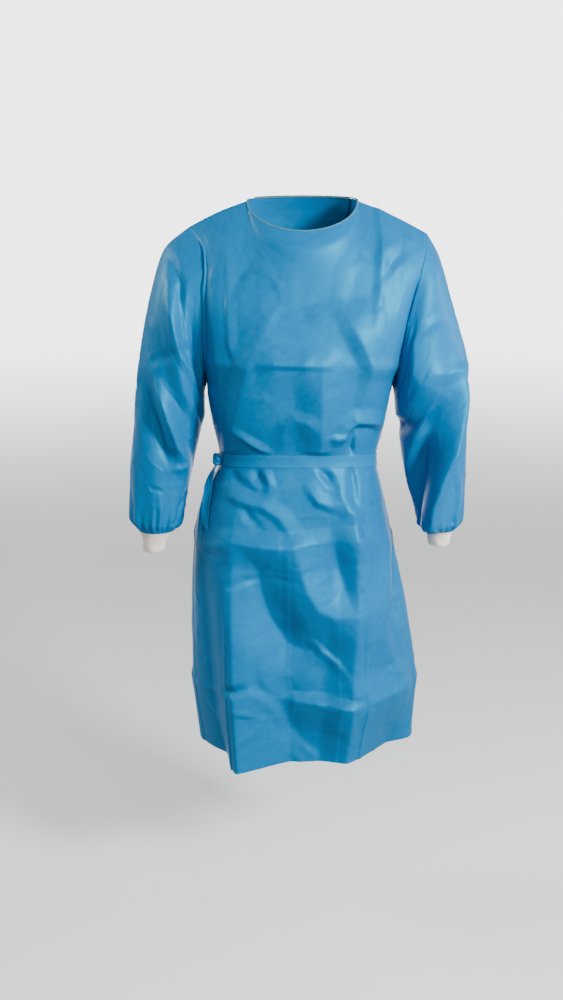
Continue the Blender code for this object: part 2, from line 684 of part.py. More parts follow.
def build():
    clear_scene()
    cloth = cloth_material("nonwoven_blue", BLUE, 0.55)
    belt = cloth_material("belt_blue", BLUE_BELT, 0.55)
    knit = cloth_material("knit_white", KNIT_WHITE, 0.9)
    bound = cloth_material("binding_blue", BINDING_BLUE, 0.6)
    front, left, right = build_body(cloth)
    build_binding(front, left, right, bound)
    build_belt(front, left, right, belt)
    knot_foot = build_knot(belt)
    for end in TIE_ENDS:
        build_tie_end(end, knot_foot, belt)
    arms = (
        ("left", 1.0, SLEEVE_LEFT, SLEEVE_FOLDS_LEFT, CUFF_LEFT),
        ("right", -1.0, SLEEVE_RIGHT, SLEEVE_FOLDS_RIGHT, CUFF_RIGHT),
    )
    for name, side, sections, folds, cuff in arms:
        points, outwards = sleeve_grid(side, sections, folds)
        wall("sleeve_" + name, points, points - outwards * CLOTH, cloth, closed=True)
        last = sections[-1]
        outer, inner = cuff_grid(cuff, last.outer_z, last.middle_y)
        wall("cuff_" + name, outer, inner, knit, closed=True)


build()
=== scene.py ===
"""Surgical gown of thin blue nonwoven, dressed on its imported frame.

Metres, +z up, -y the front and +x the wearer's left.
"""
from collections import namedtuple
from math import pi, radians

import bpy
import numpy as np
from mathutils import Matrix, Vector


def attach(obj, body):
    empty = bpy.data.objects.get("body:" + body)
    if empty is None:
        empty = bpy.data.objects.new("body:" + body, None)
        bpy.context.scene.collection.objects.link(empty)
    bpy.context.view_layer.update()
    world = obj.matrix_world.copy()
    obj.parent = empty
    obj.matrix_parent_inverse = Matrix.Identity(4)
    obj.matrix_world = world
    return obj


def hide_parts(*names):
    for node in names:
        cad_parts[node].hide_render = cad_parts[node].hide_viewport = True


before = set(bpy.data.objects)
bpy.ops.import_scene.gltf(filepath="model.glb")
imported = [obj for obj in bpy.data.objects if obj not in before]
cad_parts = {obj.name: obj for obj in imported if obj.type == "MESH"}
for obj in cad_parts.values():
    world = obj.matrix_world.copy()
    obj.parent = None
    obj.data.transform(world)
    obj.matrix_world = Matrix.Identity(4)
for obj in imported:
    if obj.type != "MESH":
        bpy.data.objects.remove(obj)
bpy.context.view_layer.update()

# Camera: at the chest, looking a little down
CAMERA_AT = (-0.039, -2.6, 0.04)
CAMERA_DOWN = radians(14.7)
CAMERA_LENS = 45.36
CAMERA_SHIFT_Y = 0.008

lens = bpy.data.cameras.new("camera")
lens.lens = CAMERA_LENS
lens.shift_y = CAMERA_SHIFT_Y
camera = bpy.data.objects.new("camera", lens)
camera.location = CAMERA_AT
camera.rotation_euler = (pi / 2 - CAMERA_DOWN, 0.0, 0.0)
bpy.context.collection.objects.link(camera)
bpy.context.scene.camera = camera

# Levels and edges of the body, as in the solids
SHOULDER_Z = -0.066
ARMPIT_Z = -0.372
BELT_Z = -0.533
BELT_TILT = 0.018
BELT_TILT_REACH = 0.16
BELT_HEIGHT = 0.026
HEM_Z = -1.172
NECK_MID = 0.003
NECK_HALF = 0.112
NECK_SIDE_Z = -0.005
NECK_FRONT_DROP = 0.057
NECK_BACK_RISE = 0.005
NECK_CURVE = 1.15
NECK_FRONT_REACH = 0.078
NECK_BACK_REACH = 0.064
NECK_FADE = 1.6
NECK_LEAN = (0.66, 0.75)
NECK_SOFT = 0.26
NECK_SOFT_ROWS = 0.30
NECK_STEPS = ((-1.0, 0.12), (-0.5, 0.23), (0.0, 0.30), (0.5, 0.23), (1.0, 0.12))
NECK_SHARE = 10 / 36
SHOULDER_RIGHT_Z = -0.056
SHOULDER_LEFT_Z = -0.068
SHOULDER_CROWN = 0.004
LAP_SHARE = 0.18
LAP_RISE = 0.0030
PAST_SEAM = 1.0001
METRES_PER_U = 0.28
BELT_PRESS = (0.011, 0.024)

# Finishes of the sewn cloth
SHEET = 0.0006
SEAM_REACH = 0.0045
SEAM_DEPTH = 0.0012
BELT_SHEET = 0.0007
BELT_LIFT = 0.0007
SPLIT_ANGLE = 72

Section = namedtuple(
    "Section", "z right left front back edge_front edge_back corner_right corner_left corner_back"
)
BODY_SECTIONS = (
    Section(-0.066, 0.226, 0.254, 0.076, 0.068, 0.000, 0.000, 1.35, 1.35, 1.35),
    Section(-0.105, 0.198, 0.248, 0.100, 0.090, 0.040, 0.048, 1.7, 1.7, 1.7),
    Section(-0.160, 0.191, 0.233, 0.122, 0.112, 0.062, 0.072, 2.1, 2.1, 2.1),
    Section(-0.240, 0.191, 0.213, 0.137, 0.122, 0.068, 0.078, 2.5, 2.5, 2.4),
    Section(-0.320, 0.193, 0.199, 0.141, 0.120, 0.046, 0.050, 2.5, 2.5, 2.4),
    Section(-0.372, 0.194, 0.190, 0.139, 0.116, 0.000, 0.000, 2.5, 2.5, 2.4),
    Section(-0.450, 0.184, 0.177, 0.131, 0.108, 0.000, 0.000, 2.4, 2.4, 2.3),
    Section(-0.533, 0.169, 0.160, 0.112, 0.096, 0.000, 0.000, 2.3, 2.3, 2.2),
    Section(-0.590, 0.195, 0.172, 0.127, 0.110, 0.000, 0.000, 2.4, 2.4, 2.3),
    Section(-0.690, 0.222, 0.192, 0.138, 0.126, 0.000, 0.000, 2.4, 2.4, 2.4),
    Section(-0.850, 0.230, 0.225, 0.146, 0.138, 0.000, 0.000, 2.1, 2.2, 2.4),
    Section(-1.020, 0.229, 0.249, 0.150, 0.148, 0.000, 0.000, 1.8, 1.8, 2.2),
    Section(-1.172, 0.214, 0.254, 0.153, 0.153, 0.000, 0.000, 1.5, 1.5, 2.1),
)

# A crease follows a path of (across, down, rise) points; over is its reach above it or to the
# viewer's right, under its reach below it or to the left, and edge how round its top is.
Crease = namedtuple("Crease", "over under edge path")
CRISP = 0.0028
SOFT = 0.006
FOOT = 0.35
JOINT_POWER = 8

LARGE_FOLDS = (
    Crease(0.078, 0.078, CRISP, ((-0.400, -0.61, 0.008), (-0.345, -1.20, 0.080))),
    Crease(0.110, 0.110, 0.03, ((-0.02, -0.80, -0.006), (-0.02, -1.20, -0.030))),
    Crease(0.090, 0.045, CRISP, (
        (0.403, -0.62, 0.004), (0.332, -0.84, 0.014), (0.279, -1.04, 0.019), (0.274, -1.20, 0.019))),
    Crease(0.100, 0.100, 0.03, ((0.60, -0.80, -0.004), (0.58, -1.20, -0.012))),
    Crease(0.060, 0.060, 0.02, ((0.10, -0.70, -0.006), (0.20, -0.95, -0.005))),
    Crease(0.050, 0.050, 0.02, ((-0.24, -0.72, 0.004), (-0.26, -1.00, 0.006))),
    Crease(0.050, 0.050, 0.02, ((1.30, -0.20, -0.004), (1.42, -0.48, -0.012))),
    Crease(0.050, 0.050, 0.02, ((-1.34, -0.22, -0.005), (-1.45, -0.48, -0.012))),
    Crease(0.090, 0.090, 0.03, ((1.50, -0.64, -0.005), (1.56, -1.20, -0.024))),
    Crease(0.090, 0.090, 0.03, ((-1.48, -0.64, -0.005), (-1.52, -1.20, -0.026))),
    Crease(0.070, 0.070, 0.02, ((1.15, -0.64, 0.004), (1.16, -1.20, 0.016))),
    Crease(0.070, 0.070, 0.02, ((-1.17, -0.64, 0.004), (-1.18, -1.20, 0.014))),
)

FRONT_CREASES = (
    # Packing creases of the chest
    Crease(0.020, 0.008, CRISP, (
        (-0.545, -0.114, 0.0008), (-0.490, -0.210, 0.0016), (-0.478, -0.287, 0.0020),
        (-0.440, -0.310, 0.0020), (-0.389, -0.328, 0.0005))),
    Crease(0.050, 0.016, CRISP, (
        (0.479, -0.072, 0.0015), (0.445, -0.133, 0.0032), (0.450, -0.195, 0.0032),
        (0.459, -0.252, 0.0010))),
    Crease(0.012, 0.012, CRISP, (
        (-0.739, -0.321, 0.0015), (-0.519, -0.323, 0.0015), (-0.379, -0.327, 0.0010))),
    Crease(0.040, 0.010, CRISP, (
        (-0.313, -0.324, 0.0008), (-0.165, -0.318, 0.0040), (0.021, -0.320, 0.0045),
        (0.141, -0.322, 0.0025))),
    Crease(0.045, 0.070, SOFT, (
        (-0.290, -0.326, 0.0010), (-0.165, -0.322, 0.0065), (0.021, -0.324, 0.0070),
        (0.110, -0.326, 0.0040))),
    Crease(0.020, 0.025, CRISP, (
        (0.303, -0.325, 0.0010), (0.443, -0.329, 0.0025), (0.904, -0.331, 0.0015))),
    # Folds of the chest
    Crease(0.060, 0.052, CRISP, (
        (0.126, -0.320, 0.0020), (0.141, -0.394, 0.0085), (0.146, -0.462, 0.0095),
        (0.150, -0.513, 0.0070))),
    Crease(0.090, 0.036, 0.003, (
        (-0.117, -0.207, 0.0005), (-0.241, -0.269, 0.0050), (-0.327, -0.316, 0.0080),
        (-0.375, -0.384, 0.0085), (-0.489, -0.464, 0.0070), (-0.680, -0.525, 0.0040))),
    Crease(0.080, 0.022, CRISP, (
        (0.217, -0.214, 0.0010), (0.284, -0.250, 0.0052), (0.360, -0.285, 0.0078),
        (0.451, -0.326, 0.0072), (0.440, -0.364, 0.0060), (0.430, -0.412, 0.0010))),
    Crease(0.018, 0.050, 0.003, (
        (-0.184, -0.110, -0.0010), (-0.327, -0.152, -0.0045), (-0.451, -0.194, -0.0025))),
    Crease(0.110, 0.055, SOFT, (
        (-0.241, -0.257, -0.0010), (-0.093, -0.215, -0.0060), (0.093, -0.201, -0.0075),
        (0.251, -0.200, -0.0075), (0.450, -0.205, -0.0040), (0.643, -0.215, -0.0010))),
    Crease(0.015, 0.015, 0.003, (
        (0.447, -0.172, -0.0010), (0.515, -0.151, -0.0025), (0.611, -0.131, -0.0010))),
    Crease(0.010, 0.014, 0.003, (
        (0.459, -0.128, 0.0010), (0.500, -0.124, 0.0018), (0.547, -0.121, 0.0010))),
    Crease(0.012, 0.016, CRISP, (
        (-0.940, -0.100, 0.0015), (-0.945, -0.180, 0.0045), (-0.940, -0.300, 0.0040),
        (-0.930, -0.350, 0.0010))),
    # Drawn in above the belt
    Crease(0.015, 0.012, 0.002, (
        (-0.467, -0.465, 0.0025), (-0.355, -0.492, 0.0050), (-0.246, -0.519, 0.0030))),
    Crease(0.010, 0.012, 0.002, (
        (-0.431, -0.482, -0.0010), (-0.351, -0.510, -0.0030), (-0.267, -0.524, -0.0020))),
    Crease(0.022, 0.050, 0.002, (
        (-0.158, -0.485, 0.0010), (-0.102, -0.453, 0.0040), (-0.034, -0.439, 0.0055),
        (0.040, -0.444, 0.0050), (0.110, -0.462, 0.0010))),
    Crease(0.010, 0.030, CRISP, (
        (0.206, -0.480, 0.0020), (0.255, -0.478, 0.0055), (0.323, -0.478, 0.0040))),
    Crease(0.030, 0.012, 0.002, (
        (0.323, -0.478, 0.0030), (0.347, -0.457, 0.0045), (0.403, -0.444, 0.0060),
        (0.543, -0.448, 0.0060), (0.768, -0.460, 0.0020))),
    Crease(0.012, 0.035, 0.003, (
        (0.365, -0.484, -0.0010), (0.430, -0.464, -0.0045), (0.540, -0.464, -0.0045),
        (0.720, -0.478, -0.0010))),
    Crease(0.009, 0.014, 0.002, (
        (0.399, -0.480, -0.0020), (0.415, -0.505, -0.0055), (0.427, -0.521, -0.0055))),
    # Let out below the belt
    Crease(0.014, 0.016, 0.002, (
        (0.154, -0.544, -0.0060), (0.210, -0.562, -0.0060), (0.251, -0.579, -0.0020))),
    Crease(0.010, 0.024, 0.002, (
        (0.431, -0.546, -0.0035), (0.423, -0.579, -0.0035), (0.399, -0.622, -0.0010))),
    Crease(0.022, 0.012, 0.002, (
        (0.062, -0.588, 0.0015), (0.126, -0.610, 0.0050), (0.238, -0.622, 0.0030))),
    Crease(0.022, 0.022, 0.003, (
        (0.279, -0.575, 0.0015), (0.299, -0.602, 0.0045), (0.335, -0.629, 0.0055),
        (0.407, -0.640, 0.0025))),
    Crease(0.020, 0.045, CRISP, (
        (0.375, -0.635, 0.0015), (0.367, -0.665, 0.0065), (0.365, -0.697, 0.0040))),
    Crease(0.011, 0.013, 0.003, (
        (-0.571, -0.551, -0.0010), (-0.455, -0.572, -0.0040), (-0.339, -0.588, -0.0040),
        (-0.226, -0.597, -0.0010))),
    Crease(0.010, 0.013, 0.003, (
        (-0.343, -0.545, -0.0030), (-0.307, -0.565, -0.0040), (-0.202, -0.588, -0.0020))),
    Crease(0.012, 0.012, 0.003, (
        (-0.259, -0.551, 0.0030), (-0.214, -0.578, 0.0040), (-0.194, -0.601, 0.0010))),
    Crease(0.024, 0.012, 0.002, (
        (-0.459, -0.602, 0.0015), (-0.347, -0.613, 0.0045), (-0.242, -0.618, 0.0045),
        (-0.130, -0.640, 0.0040), (-0.034, -0.681, 0.0010))),
    Crease(0.010, 0.012, 0.002, (
        (-0.359, -0.618, -0.0010), (-0.315, -0.638, -0.0035), (-0.230, -0.661, -0.0010))),
    # Packing creases and facets of the skirt
    Crease(0.030, 0.050, CRISP, (
        (-0.408, -0.687, 0.0050), (-0.222, -0.693, 0.0120), (-0.045, -0.696, 0.0110),
        (0.117, -0.689, 0.0050), (0.332, -0.684, 0.0040), (0.757, -0.700, 0.0030))),
    Crease(0.075, 0.085, CRISP, (
        (-0.035, -0.700, 0.0060), (0.000, -0.738, 0.0160), (0.042, -0.782, 0.0200),
        (0.105, -0.820, 0.0200), (0.190, -0.838, 0.0160), (0.332, -0.838, 0.0050))),
    Crease(0.055, 0.065, 0.002, (
        (-0.313, -0.706, -0.0040), (-0.246, -0.742, -0.0110), (-0.222, -0.799, -0.0140),
        (-0.193, -0.833, -0.0140), (-0.146, -0.866, -0.0130), (-0.079, -0.902, -0.0100),
        (0.012, -0.914, -0.0060), (0.117, -0.920, -0.0020))),
    Crease(0.040, 0.040, CRISP, (
        (0.370, -0.700, 0.0030), (0.346, -0.774, 0.0050), (0.332, -0.840, 0.0055),
        (0.308, -0.915, 0.0055), (0.279, -1.040, 0.0055), (0.274, -1.172, 0.0050))),
    Crease(0.030, 0.030, CRISP, (
        (0.227, -0.697, -0.0030), (0.255, -0.742, -0.0070), (0.284, -0.784, -0.0060),
        (0.313, -0.826, -0.0020))),
    Crease(0.026, 0.050, 0.004, (
        (0.690, -0.715, 0.0030), (0.632, -0.767, 0.0060), (0.547, -0.839, 0.0070),
        (0.537, -0.896, 0.0070), (0.618, -0.955, 0.0060), (0.700, -1.005, 0.0020))),
    Crease(0.050, 0.020, 0.004, (
        (0.819, -0.746, -0.0030), (0.790, -0.800, -0.0090), (0.720, -0.845, -0.0070),
        (0.630, -0.856, -0.0020))),
    Crease(0.022, 0.075, 0.002, (
        (-0.136, -1.022, 0.0010), (-0.031, -1.027, 0.0090), (0.117, -1.031, 0.0110),
        (0.232, -1.037, 0.0100), (0.274, -1.040, 0.0060))),
    Crease(0.070, 0.150, CRISP, (
        (0.289, -1.041, 0.0030), (0.399, -1.033, 0.0110), (0.609, -1.027, 0.0150),
        (0.776, -1.020, 0.0100), (0.933, -1.015, 0.0010))),
    Crease(0.170, 0.060, 0.004, (
        (0.560, -1.200, -0.0080), (0.760, -1.200, -0.0200), (0.920, -1.190, -0.0120))),
    Crease(0.012, 0.012, 0.002, (
        (-0.236, -0.932, -0.0010), (-0.255, -0.970, -0.0035), (-0.236, -0.993, -0.0035),
        (-0.169, -1.016, -0.0010))),
    Crease(0.008, 0.014, 0.002, (
        (0.079, -0.894, 0.0010), (0.126, -0.917, 0.0040), (0.203, -0.942, 0.0035),
        (0.255, -0.970, 0.0010))),
    Crease(0.012, 0.010, 0.002, (
        (-0.379, -0.774, -0.0020), (-0.317, -0.763, -0.0035), (-0.232, -0.759, -0.0010))),
    Crease(0.008, 0.008, 0.002, (
        (-0.184, -0.759, -0.0005), (-0.088, -0.759, -0.0015), (-0.017, -0.761, -0.0005))),
    Crease(0.010, 0.010, 0.002, (
        (-0.356, -1.035, 0.0010), (-0.298, -1.043, 0.0022), (-0.227, -1.060, 0.0010))),
    Crease(0.010, 0.012, 0.002, (
        (-0.222, -1.017, 0.0010), (-0.170, -1.042, 0.0024), (-0.138, -1.063, 0.0010))),
    Crease(0.010, 0.010, 0.002, (
        (-0.212, -1.060, 0.0010), (-0.279, -1.092, 0.0024), (-0.356, -1.109, 0.0005))),
    Crease(0.060, 0.040, SOFT, (
        (-0.165, -0.999, -0.0020), (-0.055, -1.090, -0.0070), (0.064, -1.132, -0.0060),
        (0.212, -1.161, -0.0030))),
    Crease(0.014, 0.014, 0.003, (
        (-0.440, -0.998, -0.0010), (-0.365, -0.992, -0.0070), (-0.290, -0.984, -0.0020))),
    # The side panel at the wearer's right
    Crease(0.030, 0.030, SOFT, (
        (-0.640, -0.700, 0.0010), (-0.600, -0.850, -0.0030), (-0.580, -1.050, -0.0020))),
    Crease(0.012, 0.016, 0.003, (
        (-0.860, -0.705, 0.0015), (-0.640, -0.700, 0.0020), (-0.470, -0.696, 0.0015))),
    Crease(0.012, 0.016, 0.003, (
        (-0.900, -1.030, 0.0015), (-0.640, -1.022, 0.0022), (-0.480, -1.005, 0.0015))),
)

BACK_CREASES = (
    Crease(0.016, 0.018, CRISP, (
        (1.08, -0.322, 0.0010), (1.40, -0.326, 0.0030), (1.75, -0.320, 0.0030),
        (2.12, -0.325, 0.0015))),
    Crease(0.018, 0.016, CRISP, (
        (-1.75, -0.324, 0.0010), (-1.45, -0.320, 0.0030), (-1.08, -0.326, 0.0010))),
    Crease(0.020, 0.030, CRISP, (
        (1.06, -0.700, 0.0015), (1.36, -0.694, 0.0045), (1.72, -0.699, 0.0040),
        (2.14, -0.696, 0.0020))),
    Crease(0.020, 0.030, CRISP, (
        (-1.78, -0.695, 0.0020), (-1.44, -0.700, 0.0045), (-1.06, -0.694, 0.0015))),
    Crease(0.020, 0.050, CRISP, (
        (1.06, -1.028, 0.0020), (1.38, -1.034, 0.0055), (1.70, -1.027, 0.0050),
        (2.14, -1.032, 0.0030))),
    Crease(0.020, 0.050, CRISP, (
        (-1.80, -1.030, 0.0025), (-1.42, -1.036, 0.0055), (-1.06, -1.028, 0.0020))),
    Crease(0.030, 0.030, CRISP, (
        (1.50, -0.150, 0.0010), (1.50, -0.300, 0.0030), (1.49, -0.500, 0.0010))),
    Crease(0.030, 0.030, CRISP, (
        (-1.52, -0.140, 0.0010), (-1.51, -0.300, 0.0032), (-1.50, -0.500, 0.0010))),
    Crease(0.035, 0.035, CRISP, (
        (1.36, -0.580, 0.0010), (1.34, -0.800, 0.0045), (1.33, -1.172, 0.0060))),
    Crease(0.035, 0.035, CRISP, (
        (-1.35, -0.580, 0.0010), (-1.33, -0.820, 0.0045), (-1.34, -1.172, 0.0060))),
    Crease(0.050, 0.045, 0.003, (
        (1.22, -0.410, -0.0010), (1.40, -0.360, -0.0050), (1.62, -0.380, -0.0055),
        (1.78, -0.430, -0.0010))),
    Crease(0.040, 0.050, 0.003, (
        (-1.70, -0.400, -0.0010), (-1.48, -0.372, -0.0050), (-1.20, -0.420, -0.0010))),
    Crease(0.050, 0.055, 0.003, (
        (1.44, -0.730, 0.0020), (1.50, -0.820, 0.0080), (1.66, -0.880, 0.0080),
        (1.84, -0.890, 0.0020))),
    Crease(0.050, 0.050, 0.003, (
        (-1.62, -0.740, 0.0020), (-1.56, -0.840, 0.0070), (-1.36, -0.900, 0.0070),
        (-1.18, -0.905, 0.0020))),
    Crease(0.020, 0.024, 0.003, (
        (1.20, -0.250, 0.0010), (1.34, -0.220, 0.0032), (1.46, -0.170, 0.0010))),
    Crease(0.024, 0.020, 0.003, (
        (-1.44, -0.180, 0.0010), (-1.30, -0.232, 0.0032), (-1.18, -0.262, 0.0010))),
    Crease(0.014, 0.016, 0.002, (
        (1.30, -0.460, 0.0010), (1.38, -0.490, 0.0040), (1.46, -0.516, 0.0020))),
    Crease(0.016, 0.014, 0.002, (
        (-1.56, -0.455, 0.0010), (-1.47, -0.486, 0.0040), (-1.40, -0.516, 0.0020))),
    Crease(0.014, 0.020, 0.002, (
        (1.52, -0.552, -0.0030), (1.58, -0.590, -0.0050), (1.68, -0.625, -0.0010))),
    Crease(0.018, 0.014, 0.002, (
        (-1.30, -0.552, -0.0030), (-1.38, -0.594, -0.0050), (-1.50, -0.622, -0.0010))),
)

Gather = namedtuple("Gather", "u above below depth")
BACK_GATHERS = (
    Gather(1.11, 0.040, 0.055, -0.006),
    Gather(1.25, 0.062, 0.045, -0.009),
    Gather(1.41, 0.036, 0.072, -0.007),
    Gather(1.56, 0.055, 0.060, -0.010),
    Gather(1.70, 0.046, 0.050, -0.006),
    Gather(-1.13, 0.050, 0.044, -0.007),
    Gather(-1.24, 0.034, 0.066, -0.006),
    Gather(-1.38, 0.066, 0.052, -0.010),
    Gather(-1.53, 0.042, 0.074, -0.008),
    Gather(-1.68, 0.056, 0.046, -0.007),
)
GATHER_REACH = 0.022
GATHER_SPREAD = 0.03
GATHER_FADE = 0.3

# Sleeves, as in the solids
SleeveSection = namedtuple(
    "SleeveSection", "along outer_x outer_z inner_x inner_z middle_y half_depth"
)
SLEEVE_LEFT = (
    SleeveSection(0.00, 0.254, -0.068, 0.190, -0.372, 0.002, 0.072),
    SleeveSection(0.14, 0.281, -0.114, 0.195, -0.396, 0.002, 0.080),
    SleeveSection(0.28, 0.305, -0.195, 0.199, -0.434, 0.004, 0.080),
    SleeveSection(0.42, 0.330, -0.280, 0.207, -0.476, 0.006, 0.078),
    SleeveSection(0.56, 0.343, -0.370, 0.214, -0.522, 0.005, 0.074),
    SleeveSection(0.70, 0.350, -0.460, 0.223, -0.570, 0.000, 0.068),
    SleeveSection(0.84, 0.348, -0.565, 0.233, -0.622, -0.010, 0.060),
    SleeveSection(0.96, 0.343, -0.660, 0.243, -0.668, -0.020, 0.050),
    SleeveSection(1.00, 0.329, -0.681, 0.264, -0.681, -0.022, 0.036),
)
SLEEVE_RIGHT = (
    SleeveSection(0.00, -0.226, -0.056, -0.194, -0.372, 0.002, 0.072),
    SleeveSection(0.14, -0.278, -0.102, -0.199, -0.396, 0.002, 0.080),
    SleeveSection(0.28, -0.306, -0.190, -0.199, -0.434, 0.004, 0.080),
    SleeveSection(0.42, -0.324, -0.280, -0.209, -0.476, 0.006, 0.078),
    SleeveSection(0.56, -0.339, -0.370, -0.219, -0.518, 0.005, 0.074),
    SleeveSection(0.70, -0.348, -0.460, -0.231, -0.570, 0.000, 0.068),
    SleeveSection(0.84, -0.358, -0.565, -0.242, -0.622, -0.010, 0.060),
    SleeveSection(0.96, -0.359, -0.655, -0.252, -0.668, -0.020, 0.050),
    SleeveSection(1.00, -0.342, -0.683, -0.266, -0.683, -0.022, 0.038),
)
ARMHOLE_FADE = 0.34
METRES_PER_TURN = 0.25
SLEEVE_GAIN = 1.4
SLEEVE_LENGTH = 0.62
CUFF_GATHERS = 8
CUFF_GATHER_RISE = 0.0030
CUFF_GATHER_START = 0.74
CUFF_GATHER_END = 0.042

# Sleeve creases: turn (0 outside, 0.5 in front, 1 inside, 1.5 behind), along, rise
SLEEVE_CREASES_LEFT = (
    Crease(0.062, 0.062, CRISP, (
        (0.20, 0.48, 0.0080), (0.353, 0.627, 0.0090), (0.496, 0.786, 0.0100),
        (0.600, 0.960, 0.0100))),
    Crease(0.045, 0.045, 0.01, (
        (0.95, 0.38, -0.0100), (0.36, 0.50, -0.0060))),
    Crease(0.045, 0.045, 0.01, (
        (0.70, 0.62, -0.0100), (0.86, 0.92, -0.0060))),
    Crease(0.014, 0.018, CRISP, (
        (0.513, 0.336, 0.0015), (0.353, 0.440, 0.0040), (0.202, 0.486, 0.0040),
        (0.080, 0.500, 0.0020))),
    Crease(0.010, 0.012, CRISP, (
        (0.550, 0.120, 0.0005), (0.408, 0.206, 0.0018), (0.125, 0.362, 0.0005))),
    Crease(0.050, 0.045, CRISP, (
        (0.620, 0.100, 0.0010), (0.580, 0.139, 0.0040), (0.622, 0.237, 0.0075),
        (0.580, 0.323, 0.0085), (0.471, 0.444, 0.0085), (0.378, 0.526, 0.0050))),
    Crease(0.020, 0.030, 0.003, (
        (0.950, 0.367, -0.0030), (0.717, 0.437, -0.0050), (0.575, 0.482, -0.0050),
        (0.392, 0.518, -0.0020))),
    Crease(0.030, 0.075, CRISP, (
        (0.240, 0.545, 0.0060), (0.353, 0.627, 0.0120), (0.420, 0.715, 0.0150),
        (0.496, 0.786, 0.0150), (0.563, 0.868, 0.0130), (0.613, 0.950, 0.0070))),
    Crease(0.016, 0.045, CRISP, (
        (0.230, 0.520, 0.0030), (0.300, 0.627, 0.0100), (0.385, 0.715, 0.0120),
        (0.475, 0.786, 0.0120), (0.555, 0.868, 0.0100), (0.610, 0.950, 0.0060))),
    Crease(0.110, 0.030, 0.008, (
        (0.620, 0.560, -0.0050), (0.780, 0.650, -0.0130), (0.900, 0.750, -0.0170),
        (0.980, 0.850, -0.0130), (1.020, 0.930, -0.0060))),
    Crease(0.010, 0.012, 0.002, (
        (0.283, 0.900, -0.0015), (0.308, 0.950, -0.0035))),
    Crease(0.014, 0.014, 0.003, (
        (0.360, 0.760, 0.0010), (0.280, 0.830, 0.0035), (0.233, 0.900, 0.0010))),
    Crease(0.045, 0.045, 0.01, ((1.75, 0.52, -0.0060), (1.35, 0.44, -0.0090))),
    Crease(0.045, 0.045, 0.01, ((1.60, 0.60, -0.0050), (1.20, 0.66, -0.0080))),
    Crease(0.016, 0.020, CRISP, (
        (1.80, 0.42, 0.0010), (1.55, 0.38, 0.0035), (1.25, 0.36, 0.0010))),
    Crease(0.030, 0.030, 0.003, (
        (1.70, 0.20, 0.0010), (1.50, 0.32, 0.0050), (1.42, 0.45, 0.0010))),
    Crease(0.030, 0.030, 0.003, (
        (1.62, 0.66, 0.0010), (1.50, 0.78, 0.0060), (1.36, 0.94, 0.0020))),
    Crease(0.020, 0.020, 0.003, (
        (0.06, 0.20, 0.0010), (0.10, 0.40, 0.0030), (0.05, 0.62, 0.0010))),
)
SLEEVE_CREASES_RIGHT = (
    Crease(0.045, 0.045, 0.01, ((0.40, 0.20, 0.0080), (0.62, 0.34, 0.0070))),
    Crease(0.045, 0.045, 0.01, ((0.30, 0.55, -0.0100), (0.48, 0.67, -0.0070))),
    Crease(0.043, 0.043, 0.01, ((0.50, 0.50, 0.0090), (0.76, 0.66, 0.0060))),
    Crease(0.020, 0.030, 0.003, (
        (0.080, 0.140, -0.0010), (0.183, 0.120, -0.0040), (0.292, 0.110, -0.0060),
        (0.480, 0.160, -0.0030))),
    Crease(0.030, 0.040, SOFT, (
        (0.450, 0.060, -0.0030), (0.600, 0.100, -0.0080), (0.780, 0.160, -0.0060))),
    Crease(0.024, 0.030, 0.003, (
        (0.300, 0.130, 0.0010), (0.417, 0.190, 0.0050), (0.525, 0.230, 0.0060),
        (0.625, 0.220, 0.0050), (0.800, 0.160, 0.0020))),
    Crease(0.014, 0.018, 0.002, (
        (0.492, 0.120, 0.0010), (0.575, 0.150, 0.0030), (0.650, 0.180, 0.0010))),
    Crease(0.008, 0.010, 0.002, (
        (0.294, 0.424, -0.0015), (0.420, 0.336, -0.0026), (0.529, 0.224, -0.0024),
        (0.640, 0.110, -0.0010))),
    Crease(0.045, 0.024, CRISP, (
        (0.390, 0.420, 0.0010), (0.450, 0.470, 0.0060), (0.530, 0.535, 0.0080),
        (0.640, 0.610, 0.0070), (0.760, 0.635, 0.0020))),
    Crease(0.026, 0.026, 0.004, (
        (0.350, 0.548, -0.0020), (0.450, 0.600, -0.0070), (0.550, 0.660, -0.0050))),
    Crease(0.012, 0.014, 0.002, (
        (0.600, 0.730, 0.0010), (0.700, 0.690, 0.0035), (0.800, 0.650, 0.0020))),
    Crease(0.008, 0.008, 0.002, (
        (0.458, 0.829, -0.0018), (0.550, 0.820, -0.0018))),
    Crease(0.014, 0.014, 0.003, (
        (0.560, 0.820, 0.0010), (0.575, 0.900, 0.0040), (0.583, 0.970, 0.0030))),
    Crease(0.014, 0.016, 0.003, (
        (0.925, 0.780, -0.0010), (0.842, 0.870, -0.0040), (0.800, 0.945, -0.0030))),
    Crease(0.024, 0.030, 0.004, (
        (0.900, 0.220, 0.0010), (0.842, 0.300, -0.0040), (0.942, 0.380, -0.0010))),
    Crease(0.045, 0.045, 0.01, ((1.30, 0.42, -0.0090), (1.72, 0.50, -0.0060))),
    Crease(0.045, 0.045, 0.01, ((1.25, 0.62, -0.0080), (1.60, 0.68, -0.0050))),
    Crease(0.020, 0.016, CRISP, (
        (1.22, 0.37, 0.0010), (1.52, 0.40, 0.0035), (1.82, 0.43, 0.0010))),
    Crease(0.030, 0.030, 0.003, (
        (1.34, 0.18, 0.0010), (1.50, 0.30, 0.0050), (1.60, 0.44, 0.0010))),
    Crease(0.030, 0.030, 0.003, (
        (1.38, 0.72, 0.0010), (1.52, 0.84, 0.0060), (1.60, 0.95, 0.0020))),
    Crease(0.020, 0.020, 0.003, (
        (0.05, 0.22, 0.0010), (0.09, 0.42, 0.0030), (0.04, 0.66, 0.0010))),
)

